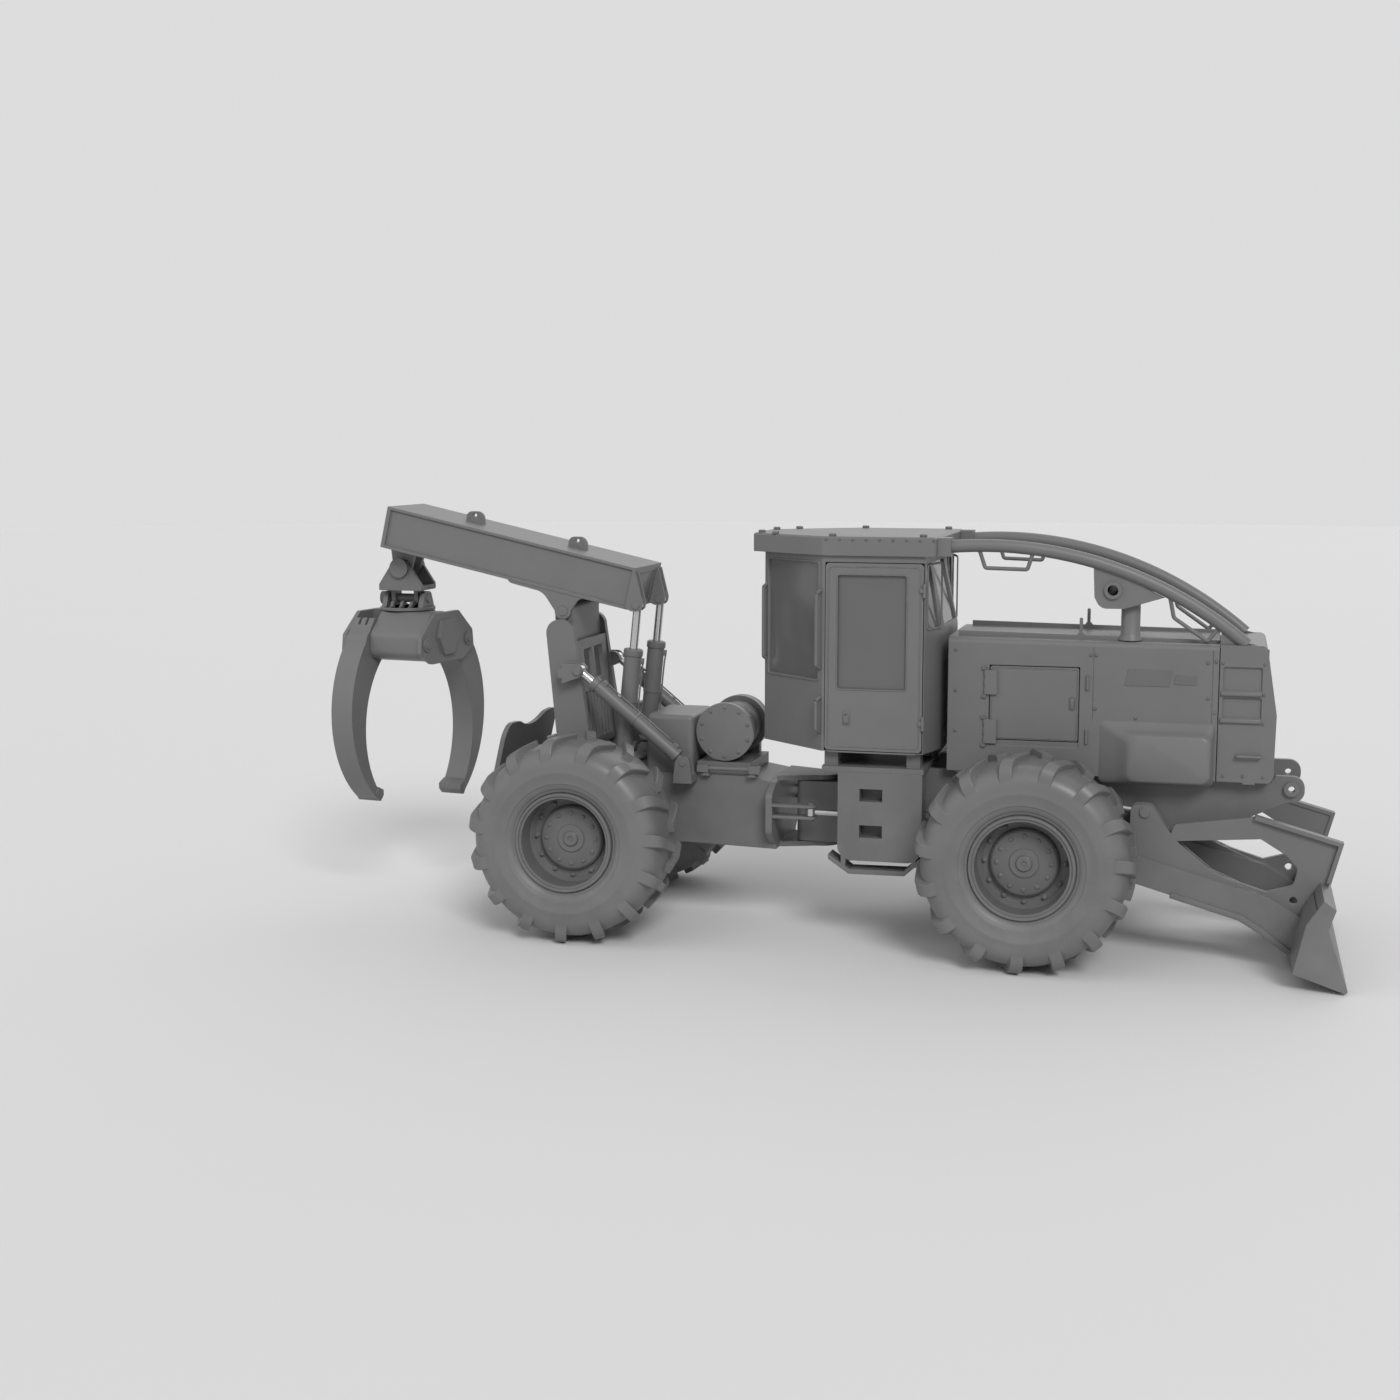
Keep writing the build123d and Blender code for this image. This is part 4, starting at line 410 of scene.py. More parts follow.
def frame_strip(name, x, z, y, wide, deep, corner=0.03):
    """Rounded rectangular gasket around an opening; its inner edge follows the rectangle."""
    def ring(grow, place):
        rows = []
        for cx, cz, first in ((x[1], z[1], 0), (x[0], z[1], 90), (x[0], z[0], 180), (x[1], z[0], 270)):
            inward_x = -corner if cx == x[1] else corner
            inward_z = -corner if cz == z[1] else corner
            for angle in [math.radians(first + 22.5 * step) for step in range(5)]:
                reach = corner + grow
                rows.append((cx + inward_x + reach * math.cos(angle), place,
                             cz + inward_z + reach * math.sin(angle)))
        return rows
    layers = [ring(0.0, y), ring(wide * 0.25, y + deep), ring(wide * 0.75, y + deep), ring(wide, y)]
    return shell(name, layers, in_loop=True)


def pipe_mesh(name, points, radius, sides=3):
    """Round pipe that follows a few points with easy bends."""
    line = bpy.data.curves.new(name, "CURVE")
    line.dimensions = "3D"
    line.bevel_depth = radius
    line.bevel_resolution = sides
    line.resolution_u = 10
    line.use_fill_caps = True
    spline = line.splines.new("NURBS")
    spline.points.add(len(points) - 1)
    for knot, point in zip(spline.points, points):
        knot.co = (*point, 1.0)
    spline.order_u = 3
    spline.use_endpoint_u = True
    return finish_mesh(evaluated(added(name, line)))


def rounded(rows, steps=6):
    """Outline in metres from rows of two places and a corner radius in millimetres."""
    result = []
    count = len(rows)
    for index, (a, b, radius) in enumerate(rows):
        corner = Vector((a, b)) / 1000
        before = Vector(rows[index - 1][:2]) / 1000 - corner
        after = Vector(rows[(index + 1) % count][:2]) / 1000 - corner
        if radius == 0:
            result.append(tuple(corner))
            continue
        half = before.angle(after) / 2
        reach = min(radius / 1000 / math.tan(half), before.length * 0.49, after.length * 0.49)
        first, last = before.normalized() * reach, after.normalized() * reach
        middle = (before.normalized() + after.normalized()).normalized() * (reach / math.cos(half))
        for step in range(steps + 1):
            spoke = (first - middle).lerp(last - middle, step / steps).normalized() * (first - middle).length
            result.append(tuple(corner + middle + spoke))
    return result


def side_form(rows, low, high):
    """Plate with an outline seen from the side, between two distances across the machine."""
    outline = rounded(rows)
    return shell("side_form", [[(x, y / 1000, z) for x, z in outline] for y in (low, high)])


def cross_form(rows, low, high):
    """Plate with an outline seen from the front, between two places along the machine."""
    outline = rounded(rows)
    return shell("cross_form", [[(x / 1000, y, z) for y, z in outline] for x in (low, high)])


def rod_form(start, end, radius, sides=28, edge=0.0015):
    """Round bar between two places in millimetres, with broken edges."""
    start, end = Vector(start) / 1000, Vector(end) / 1000
    length, radius = (end - start).length, radius / 1000
    profile = [(0.0, 0.0), (0.0, radius - edge), (edge, radius), (length - edge, radius),
               (length, radius - edge), (length, 0.0)]
    return placed(turned_mesh("rod_form", profile, sides), start, (end - start).normalized())


def block_form(x, y, z):
    """Block between two places along, across and up, in millimetres."""
    return box_mesh("block_form", [tuple(tuple(value / 1000 for value in corner) for corner in zip(x, y, z))])


def cut(mesh, tools):
    """The mesh with the shapes of the tools taken away, one after the other."""
    for tool_mesh in tools:
        work, tool = [added("cutting", shape) for shape in (mesh, tool_mesh)]
        modifier = work.modifiers.new("cut", "BOOLEAN")
        modifier.operation = "DIFFERENCE"
        modifier.solver = "EXACT"
        modifier.object = tool
        mesh = evaluated(work, tool)
    return mesh


def new_shape_group(name, inputs):
    """An empty geometry tree with a geometry way through, its own inputs and a finish."""
    geometry = {"Geometry": "NodeSocketGeometry"}
    inputs = {**geometry, **inputs, "Finish": "NodeSocketMaterial"}
    return new_group("GeometryNodeTree", name, inputs, geometry)


def end_shape_group(tree, given, result, source):
    """Realizes the copies, sets their finish and puts them out."""
    real = tree.shape("RealizeInstances", {0: source})
    finished = {"Geometry": real, "Material": given["Finish"]}
    tree.fill(result, {"Geometry": tree.shape("SetMaterial", finished)})
    return tree.tree


def make_turned_copies():
    """Copies of the incoming piece around an axle that runs along Y."""
    tree, given, result = new_shape_group("copies_around_axle", {"Count": 12, "Pivot": (0.0, 0.0, 0.0)})
    line = {"Count": given["Count"], "Start Location": given["Pivot"], "Offset": (0.0, 0.0, 0.0)}
    back = tree.out(0, "ShaderNodeVectorMath", {0: given["Pivot"], "Scale": -1.0}, operation="SCALE")
    step = tree.figure("DIVIDE", 2 * math.pi, given["Count"])
    angle = tree.figure("MULTIPLY", tree.shape("InputIndex"), step)
    about = tree.out(0, "ShaderNodeCombineXYZ", {"Y": angle})
    copies = {
        "Points": tree.shape("MeshLine", line, mode="OFFSET"),
        "Instance": tree.shape("Transform", {"Geometry": given["Geometry"], "Translation": back}),
        "Rotation": tree.out(0, "FunctionNodeEulerToRotation", {0: about}),
    }
    return end_shape_group(tree, given, result, tree.shape("InstanceOnPoints", copies))


def make_row_copies():
    """Copies of the incoming piece in a row."""
    tree, given, result = new_shape_group("copies_in_a_row", {"Count": 2, "Step": (0.0, 0.0, 0.0)})
    places = tree.shape("MeshLine", {"Count": given["Count"], "Offset": given["Step"]}, mode="OFFSET")
    copies = {"Points": places, "Instance": given["Geometry"]}
    return end_shape_group(tree, given, result, tree.shape("InstanceOnPoints", copies))


def make_fasteners():
    """A hexagon head on a washer at each incoming point, turned and sized by the point's own values."""
    tree, given, result = new_shape_group("hexagon_heads", {
        "Head Radius": 0.0105, "Head Height": 0.007, "Washer Radius": 0.0150, "Washer Height": 0.0025})
    shapes = tree.add("GeometryNodeJoinGeometry")
    for label, sides, lift in (("Washer", 16, 0.0), ("Head", 6, 1.0)):
        depth = given[label + " Height"]
        body = tree.shape("MeshCylinder", {
            "Vertices": sides, "Radius": given[label + " Radius"], "Depth": depth})
        half = tree.figure("MULTIPLY", depth, 0.5)
        height = tree.figure("MULTIPLY_ADD", given["Washer Height"], lift, half)
        up = tree.out(0, "ShaderNodeCombineXYZ", {"Z": height})
        tree.fill(shapes, {0: tree.shape("Transform", {"Geometry": body, "Translation": up})})
    facing = tree.shape("InputNamedAttribute", {"Name": "facing"}, data_type="FLOAT_VECTOR")
    copies = {
        "Points": given["Geometry"],
        "Instance": shapes.outputs[0],
        "Rotation": tree.out(0, "FunctionNodeEulerToRotation", {0: facing}),
        "Scale": tree.shape("InputNamedAttribute", {"Name": "size"}, data_type="FLOAT"),
    }
    return end_shape_group(tree, given, result, tree.shape("InstanceOnPoints", copies))


def make_bead():
    """A rippled weld bead along the incoming edges."""
    tree, given, result = new_shape_group("weld_ripples", {"Pitch": 0.013, "Radius": 0.0085})
    line = tree.shape("MeshToCurve", {0: given["Geometry"]})
    even = tree.shape("ResampleCurve", {"Curve": line, "Length": given["Pitch"]}, mode="LENGTH")
    drop = tree.shape("MeshIcoSphere", {"Subdivisions": 1, "Radius": given["Radius"]})
    copies = tree.shape("InstanceOnPoints", {"Points": even, "Instance": drop})
    return end_shape_group(tree, given, result, copies)


def make_rope():
    """Rope wound side by side on a drum that lies along Y."""
    tree, given, result = new_shape_group("wound_rope", {
        "Turns": 26.0, "Drum Radius": 0.2, "Length": 0.5, "Rope Radius": 0.0095, "Centre": (0.0, 0.0, 0.0)})
    coil = tree.shape("CurveSpiral", {
        "Resolution": 40, "Rotations": given["Turns"], "Start Radius": given["Drum Radius"],
        "End Radius": given["Drum Radius"], "Height": given["Length"]})
    section = tree.shape("CurvePrimitiveCircle", {"Resolution": 7, "Radius": given["Rope Radius"]})
    rope = tree.shape("CurveToMesh", {"Curve": coil, "Profile Curve": section, "Fill Caps": True})
    laid = tree.shape("Transform", {
        "Geometry": rope, "Translation": given["Centre"], "Rotation": (math.radians(-90), 0.0, 0.0)})
    return end_shape_group(tree, given, result, laid)


AROUND = make_turned_copies()
IN_A_ROW = make_row_copies()
FASTENERS = make_fasteners()
BEAD = make_bead()
ROPE = make_rope()


def grown(name, group, source, body, finish, crease=32.0, **values):
    """Runs a geometry tree on a mesh and keeps the result as one plain finished piece."""
    holder = added(name + "_base", source)
    modifier = holder.modifiers.new(group.name, "NODES")
    modifier.node_group = group
    sockets = {item.name: item.identifier for item in group.interface.items_tree if item.in_out == "INPUT"}
    modifier[sockets["Finish"]] = MATERIALS[finish]
    for label, value in values.items():
        modifier[sockets[label.replace("_", " ").title()]] = value
    return new_piece(name, evaluated(holder), body, finish, crease)


def side_screws(name, rows, y):
    """Screw heads on both sides of the front frame, facing outwards; rows of x, z and size."""
    spots = [(side, row) for side in (1, -1) for row in rows]
    turns = [value for side, row in spots for value in (-side * math.pi / 2, 0.0, 0.0)]
    mesh = bpy.data.meshes.new(name)
    mesh.from_pydata([(x, side * y, z) for side, (x, z, size) in spots], [], [])
    facing = mesh.attributes.new("facing", "FLOAT_VECTOR", "POINT")
    facing.data.foreach_set("vector", turns)
    size = mesh.attributes.new("size", "FLOAT", "POINT")
    size.data.foreach_set("value", [row[2] for side, row in spots])
    grown(name, FASTENERS, mesh, "front_frame", "frame_paint")


BODY_OF = {node: body for body, nodes in frame["record"]["behaviour"]["bodies"].items() for node in nodes}
SLOT_OF = {part["node"]: part["material_slot"] for part in frame["record"]["subparts"]}
# Grooves and cleared places that are cut into the copies of some nodes
HOOD_CUTS = [
    block_form((2700, 3474), (612.1, 820), (1400, 2150)),
    block_form((2700, 3474), (609.5, 820), (1400, 1549.5)),
    block_form((2452, 2458), (608, 630), (2030, 2650)),
    block_form((3428, 3434), (608, 630), (2040, 2650)),
]
HEAD_TURN = Matrix.Translation((-4.055, 0.0, 0.0)) @ Matrix.Rotation(math.radians(-7.6), 4, "Z")
HALF_TURN = Matrix.Rotation(math.pi, 4, "Z")


def on_head(mesh, opposite=False):
    """A form of the grapple head or a tong, drawn about the head's middle, put where the head hangs."""
    return moved(mesh, HEAD_TURN @ HALF_TURN if opposite else HEAD_TURN)


LEVER_CUTS = [block_form((x - 13, x + 13), (190, 430), (2655, 2770)) for x in (229, 304)]
CUTS = {
    "hood_shell": [mirrored(shape, side) for shape in HOOD_CUTS for side in (1, -1)],
    "tong_left": [on_head(shape) for shape in LEVER_CUTS],
    "tong_right": [on_head(shape, True) for shape in LEVER_CUTS],
}


def smooth_copies():
    """Stands a merged and smoothly shaded copy in for each rigid node whose own mesh is loose triangles."""
    for name, slot in SLOT_OF.items():
        node = frame["nodes"][name]
        if slot in ("tyre_rubber", "seat_cover"):
            continue
        if slot == "smoked_glass":
            node.data.materials.clear()
            node.data.materials.append(MATERIALS[slot])
            continue
        work = opened(node.data)
        bmesh.ops.remove_doubles(work, verts=work.verts, dist=MERGE)
        mesh = closed(work, bpy.data.meshes.new(name + "_skin"))
        for label in ("custom_normal", "sharp_face", "sharp_edge"):
            if label in mesh.attributes:
                mesh.attributes.remove(mesh.attributes[label])
        piece = new_piece(name + "_skin", cut(mesh, CUTS.get(name, [])), BODY_OF[name], slot, 28.0)
        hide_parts(name)


smooth_copies()

# Tyre: half width and radius round the carcass, from the bead over the sidewall to the tread
CARCASS = [
    (0.318, 0.4052), (0.318, 0.440), (0.329, 0.449), (0.333, 0.466), (0.345, 0.478), (0.356, 0.500),
    (0.3625, 0.519), (0.3685, 0.524), (0.371, 0.534), (0.3705, 0.543), (0.378, 0.570), (0.3835, 0.610),
    (0.3865, 0.618), (0.3865, 0.630), (0.3840, 0.638), (0.3830, 0.680), (0.3765, 0.722), (0.366, 0.752),
    (0.348, 0.784), (0.320, 0.812), (0.285, 0.834), (0.220, 0.851), (0.120, 0.861), (0.0, 0.864),
]
# Rows of the carcass, from this one on, that the tread bars stand on
SHOULDER_ROW = 16
# Tread bar stations: half width out, top radius, half thickness of the bar
BAR_STATIONS = [
    (-0.012, 0.9135, 0.043), (0.050, 0.9135, 0.044), (0.120, 0.9125, 0.045), (0.190, 0.9105, 0.047),
    (0.250, 0.9070, 0.050), (0.300, 0.8950, 0.053), (0.334, 0.8720, 0.056), (0.357, 0.8380, 0.058),
    (0.374, 0.7920, 0.060),
]
BAR_COUNT = 15
BAR_LEAN = math.tan(math.radians(20.0))
BAR_MIDDLE = 0.172
BAR_ROOT = 0.030
BAR_TURN_RADIUS = 0.90
NUT_CIRCLE = 0.336
HUB_SCREW_CIRCLE = 0.226


def carcass_radius(half):
    """Radius of the carcass's outer skin at a distance from its middle plane."""
    rows = list(reversed(CARCASS[SHOULDER_ROW:]))
    for (near, high), (far, low) in zip(rows, rows[1:]):
        if near <= half <= far:
            return high + (low - high) * (half - near) / (far - near)
    return rows[-1][1]


def tread_bar(side, middle):
    """One tread bar that leans forwards to the tyre's middle and rolls over the shoulder."""
    rings = []
    for half, top, thick in BAR_STATIONS:
        base = carcass_radius(abs(half)) - BAR_ROOT
        lean = (BAR_MIDDLE - half) * BAR_LEAN
        flank = [(thick * 1.16, base), (thick * 1.03, base + (top - base) * 0.55), (thick, top - 0.009),
                 (thick - 0.007, top)]
        rows = [(-along, radius) for along, radius in flank] + flank[::-1]
        spots = [(middle + (lean + along) / BAR_TURN_RADIUS, out) for along, out in rows]
        rings.append([(out * math.sin(angle), side * half, out * math.cos(angle)) for angle, out in spots])
    return shell("bar", rings)


def make_tyre_mesh():
    """Radial tyre with a lip at the rim, rings on its sidewalls and staggered tread bars."""
    profile = [(-half, radius) for half, radius in CARCASS]
    profile += [(half, radius) for half, radius in reversed(CARCASS[:-1])]
    pitch = 2 * math.pi / BAR_COUNT
    bars = [tread_bar(side, (index + shift) * pitch)
            for index in range(BAR_COUNT) for side, shift in ((1, 0.25), (-1, 0.75))]
    return joined("tyre", [turned_mesh("carcass", profile, 120)] + bars)


def make_wheels():
    """Four tyres with the nuts, plug, valve and clamp ring of their rims."""
    tyre = make_tyre_mesh()
    stud = [(0.0, 0.0), (0.0, 0.011), (0.036, 0.011), (0.040, 0.008), (0.040, 0.0)]
    wheel_nut = joined("wheel_nut", [
        soften(disc_mesh("nut", -0.004, 0.024, 0.021, 6), 0.0015, 1),
        turned_mesh("stud", stud, 14),
        disc_mesh("washer", -0.003, 0.003, 0.027, 20)])
    screw = joined("screw", [
        disc_mesh("head", -0.003, 0.013, 0.015, 6), disc_mesh("flange", -0.003, 0.004, 0.020, 18)])
    drum = turned_mesh("drum", [
        (0.050, 0.0), (0.050, 0.290), (0.092, 0.290), (0.103, 0.286), (0.117, 0.272), (0.122, 0.260),
        (0.122, 0.0)], 72)
    plug = turned_mesh("plug", [
        (-0.004, 0.0), (-0.004, 0.122), (0.010, 0.122), (0.014, 0.118), (0.014, 0.070), (0.030, 0.064),
        (0.034, 0.058), (0.034, 0.024), (0.024, 0.022), (0.024, 0.0)], 48)
    ring = turned_mesh("clamp_ring", [
        (0.0, 0.4385), (0.0, 0.4130), (0.010, 0.4100), (0.018, 0.4160), (0.018, 0.4320), (0.010, 0.4385)], 96)
    stem = pipe_mesh("valve", [(0.0, 1.250, 0.372), (0.0, 1.290, 0.372), (0.0, 1.330, 0.366)], 0.007)
    ringed = (("wheel_nuts_", wheel_nut, 1.250, NUT_CIRCLE), ("hub_screws_", screw, 1.312, HUB_SCREW_CIRCLE))
    single = (("hub_drum_", drum, 1.190, "rim_paint"), ("hub_plug_", plug, 1.312, "rim_paint"),
              ("clamp_ring_", ring, 1.5305, "rim_paint"), ("valve_", stem, 0.0, "rod_steel"))
    for hand in ("front_left", "front_right", "rear_left", "rear_right"):
        low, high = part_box("tyre_" + hand)
        x, y, z = [(a + b) / 2 for a, b in zip(low, high)]
        side = 1 if y > 0 else -1
        body = "wheel_" + hand
        piece = new_piece("tread_tyre_" + hand, shifted(tyre, x, y, z), body, "tyre_rubber", 24.0)
        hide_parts("tyre_" + hand)
        for name, shape, out, circle in ringed:
            first = shifted(mirrored(shape, side), x, side * out, z + circle)
            grown(name + hand, AROUND, first, body, "cast_parts", count=12, pivot=(x, 0.0, z))
        for name, shape, out, finish in single:
            new_piece(name + hand, shifted(mirrored(shape, side), x, side * out, z), body, finish)


make_wheels()

# Bare plates and screws on the hood's side; corners in millimetres, screws in metres as x, z
HOOD_PLATES = [
    [(2743, 2478, 0), (3108, 2475, 0), (3080, 2335, 0), (2714, 2336, 0)],
    [(3128, 2434, 0), (3305, 2434, 0), (3298, 2355, 0), (3120, 2357, 0)],
]
HOOD_SCREWS = [
    (2.431, 2.585), (2.477, 2.586), (3.389, 2.548), (3.399, 2.246), (2.476, 2.129), (2.814, 2.061),
    (2.655, 1.655), (1.290, 2.600), (1.290, 2.250), (1.290, 1.900), (3.456, 2.560), (3.456, 2.130),
]
HOOD_SIDE = 0.6115
HOOD_HINGE = (1545, 624)


def hinge_rod(low, high):
    return rod_form((*HOOD_HINGE, low), (*HOOD_HINGE, high), 11)


def make_hood_fittings():
    """Plates, screws, door frames, pulls and knuckles on both sides of the hood."""
    plates = [soften(side_form(rows, 611.5, 616), 0.0012, 1) for rows in HOOD_PLATES]
    new_pair("hood_plates", joined("plates", plates), "front_frame", "rim_paint")
    rows = [(x, z, 1.0) for x, z in HOOD_SCREWS]
    rows += [(x, z, 0.8) for x in (3.510, 3.845) for z in (2.545, 2.290, 2.045)]
    rows += [(x, 1.600, 0.9) for x in (3.540, 3.700, 3.860)]
    side_screws("hood_screws", rows, HOOD_SIDE)
    seal = frame_strip("seal", (1.606, 2.317), (1.859, 2.453), 0.6055, 0.010, 0.0045, 0.012)
    new_pair("hood_door_bead", seal, "hood_door_HAND", "body_paint")
    pull = soften(box_mesh("pull", [((2.268, 0.604, 2.120), (2.296, 0.616, 2.210))]), 0.004, 2)
    cup = frame_strip("cup", (2.262, 2.302), (2.112, 2.218), 0.6055, 0.008, 0.004, 0.010)
    knuckles = [hinge_rod(low, low + 50) for low in (1800, 1880, 1960, 2225, 2305, 2385)]
    new_pair("hood_door_pull", joined("pulls", [pull, cup] + knuckles), "hood_door_HAND", "frame_paint")


make_hood_fittings()


def grille_x(z):
    """Where the wire guard stands behind the grille bars at a height."""
    return 3.870 - 0.16 * max(0.0, z - 2.150)


def make_grille():
    """Woven wire behind the grille bars, and the fins of the radiator core."""
    heights = [1.695, 1.90, 2.150, 2.38, 2.600]
    upright = pipe_mesh("wire", [(grille_x(z), -0.500, z) for z in heights], 0.0022, 1)
    grown("grille_wires_upright", IN_A_ROW, upright, "front_frame", "frame_paint",
          count=35, step=(0.0, 0.0294, 0.0))
    heights = [1.700 + 0.0295 * step for step in range(31)]
    level = [pipe_mesh("wire", [(grille_x(z) + 0.003, y, z) for y in (-0.505, 0.505)], 0.0022, 1)
             for z in heights]
    new_piece("grille_wires_level", joined("wires", level), "front_frame", "frame_paint")
    low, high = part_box("radiator_core")
    fin = box_mesh("fin", [((high[0] - 0.004, low[1] + 0.03, low[2] + 0.05),
                            (high[0] + 0.006, low[1] + 0.033, high[2] - 0.05))])
    pitch = 0.010
    count = int((high[1] - low[1] - 0.06) / pitch)
    grown("radiator_fins", IN_A_ROW, fin, "front_frame", "core_dark", count=count, step=(0.0, pitch, 0.0))


make_grille()


def corner_seal(start, end, inset, z, wide, corner):
    """Seal of a corner window that runs from start to end, both seen from above."""
    run = Vector(end) - Vector(start)
    strip = frame_strip("seal", (inset[0], run.length - inset[1]), z, -0.006, wide, 0.013, corner)
    turn = Matrix.Translation((*start, 0.0)) @ Matrix.Rotation(math.atan2(run.y, run.x), 4, "Z")
    return moved(mirrored(strip, -1), turn)


def make_cab_fittings():
    """Window seals, door beads and handles, sill strips and roof screws of the cab."""
    seal = frame_strip("seal", (0.303, 0.890), (2.265, 3.239), 0.8565, 0.017, 0.006, 0.012)
    new_pair("door_seal", seal, "cab_door_HAND", "frame_paint")
    rim = frame_strip("rim", (0.226, 1.005), (1.762, 3.308), 0.8575, 0.012, 0.004, 0.030)
    new_pair("door_bead", rim, "cab_door_HAND", "body_paint")
    barrel = [(0.0, 0.0), (0.0, 0.010), (0.014, 0.010), (0.016, 0.008), (0.016, 0.0)]
    pull = [
        soften(box_mesh("back", [((0.352, 0.856, 1.945), (0.412, 0.864, 2.070))]), 0.003, 2),
        soften(box_mesh("paddle", [((0.360, 0.866, 1.965), (0.404, 0.880, 2.030))]), 0.005, 3),
        placed(turned_mesh("barrel", barrel, 20), (0.382, 0.862, 2.050)),
    ]
    new_pair("door_handle", joined("pull", pull), "cab_door_HAND", "frame_paint")
    strip = soften(box_mesh("strip", [((0.225, 0.846, 1.7035), (0.984, 0.858, 1.7185))]), 0.003, 2)
    new_pair("sill_strip", strip, "front_frame", "frame_paint")
    seals = joined("seals", [
        corner_seal((-0.469, -0.300), (0.165, -0.850), (0.060, 0.060), (2.330, 3.340), 0.022, 0.020),
        corner_seal((1.050, -0.850), (1.165, -0.420), (0.070, 0.090), (2.790, 3.330), 0.020, 0.018)])
    for side, hand in SIDES:
        new_piece("corner_window_seals_" + hand, mirrored(seals, -side), "front_frame", "frame_paint")
    side_screws("roof_screws", [(0.20 + 0.115 * step, 3.545, 0.75) for step in range(9)], 0.880)


make_cab_fittings()

# Cylinders in metres: foot, eye, distance from the middle, bore radius, start and end of the barrel
CYLINDERS = {
    "arch": ((-1.150, 1.510), (-2.135, 2.315), 0.572, 0.062, 0.075, 1.110, "arch_barrels"),
    "boom": ((-1.783, 1.480), (-1.640, 2.905), 0.372, 0.080, 0.075, 1.026, "boom_barrels"),
    "blade": ((1.720, 1.395), (2.917, 1.278), 0.655, 0.058, 0.110, 0.900, "blade_barrels"),
    "steer": ((1.250, 1.106), (0.250, 1.106), 0.540, 0.048, 0.072, 0.800, "steer_barrel_HAND"),
}
# Turned trim of a barrel: place along it and distance out from its bore
GLAND = [(-0.062, -0.004), (-0.062, 0.007), (-0.056, 0.009), (-0.010, 0.009), (-0.004, 0.004),
         (0.001, -0.006), (-0.004, -0.010)]
COLLAR = [(0.004, -0.004), (0.004, 0.006), (0.030, 0.006), (0.036, -0.004)]
BAND = [(-0.014, -0.003), (-0.014, 0.004), (0.014, 0.004), (0.014, -0.003)]


def cylinder_trim(bore, low, high):
    """Gland, foot collar, port blocks and pressure pipe of a barrel drawn along +Y, ports towards +Z."""
    middle = (low + high) / 2
    turned = [turned_mesh("band", [(start + along, bore + out) for along, out in rows], 40)
              for start, rows in ((high, GLAND), (low, COLLAR), (middle, BAND))]
    ports = soften(box_mesh("ports", [
        ((-0.021, low + 0.050, bore - 0.012), (0.021, low + 0.102, bore + 0.026)),
        ((-0.021, high - 0.128, bore - 0.012), (0.021, high - 0.076, bore + 0.026)),
        ((-0.014, middle - 0.012, bore - 0.006), (0.014, middle + 0.012, bore + 0.012))]), 0.003, 2)
    route = [(0.0, high - 0.102, 0.020), (0.0, high - 0.140, 0.020), (0.0, high - 0.190, 0.0145),
             (0.0, low + 0.240, 0.0145), (0.0, low + 0.160, 0.0145), (0.030, low + 0.120, 0.008),
             (0.030, low + 0.060, 0.006)]
    line = pipe_mesh("line", [(across, along, bore + out) for across, along, out in route], 0.0075)
    return joined("trim", turned + [ports, line])


def make_cylinder_trim():
    """Trim of the arch, boom, blade and steering cylinders."""
    for name, (foot, eye, y, bore, low, high, body) in CYLINDERS.items():
        trim = cylinder_trim(bore, low, high)
        way = Vector((eye[0] - foot[0], 0.0, eye[1] - foot[1])).normalized()
        across = Vector((-way.z, 0.0, way.x))
        if across.z < 0 or name == "boom":
            across.negate()
        for side, hand in SIDES:
            mesh = laid_along(trim, (foot[0], side * y, foot[1]), way, across)
            new_piece(name + "_cylinder_trim_" + hand, mesh, body.replace("HAND", hand), "frame_paint")


make_cylinder_trim()

WINCH_X = -0.841
WINCH_Z = 1.759


def make_winch():
    """Rope wound on the drum and the screws of its flange."""
    grown("winch_rope", ROPE, bpy.data.meshes.new("core"), "winch_drum", "rope_steel", 60.0,
          turns=25.0, drum_radius=0.2095, length=0.488, rope_radius=0.0098, centre=(WINCH_X, -0.244, WINCH_Z))
    screw = joined("screw", [
        disc_mesh("head", -0.003, 0.011, 0.013, 6), disc_mesh("flange", -0.003, 0.003, 0.018, 18)])
    first = shifted(mirrored(screw, -1), WINCH_X, -0.310, WINCH_Z + 0.225)
    grown("winch_flange_screws", AROUND, first, "winch_drum", "cast_parts",
          count=10, pivot=(WINCH_X, 0.0, WINCH_Z))


make_winch()

# Boom: its top front corner in metres, and how steeply it rises to the rear
BOOM_TOP = (-1.646, 3.239)
BOOM_RISE = math.atan2(0.531, 2.387)


def boom_spot(back, down, y=0.0):
    """Point beside the boom, counted back and down from its top front corner."""
    x = BOOM_TOP[0] - back * math.cos(BOOM_RISE) - down * math.sin(BOOM_RISE)
    z = BOOM_TOP[1] + back * math.sin(BOOM_RISE) - down * math.cos(BOOM_RISE)
    return x, y, z


def make_boom_welds():
    """Weld beads under the boom's edge flanges."""
    points = [boom_spot(back, down, y) for y in (-0.4075, 0.4075) for down in (0.0268, 0.3585)
              for back in (0.030, 2.425)]
    mesh = bpy.data.meshes.new("boom_welds")
    mesh.from_pydata(points, [(start, start + 1) for start in range(0, len(points), 2)], [])
    grown("boom_welds", BEAD, mesh, "boom", "body_paint", 80.0)


make_boom_welds()

# Seat cushions in metres: low and high corners, thin axis, sewn channels and the axis they cross
SEAT_PADS = {
    "seat_cushion": ((0.125, -0.255, 2.085), (0.675, 0.255, 2.208), 2, (-0.45, 0.0, 0.45), 0),
    "seat_back": ((0.070, -0.235, 2.235), (0.196, 0.235, 2.700), 0, (-0.5, 0.0, 0.5), 2),
    "seat_headrest": ((0.082, -0.150, 2.735), (0.180, 0.150, 2.905), 0, (), 2),
}


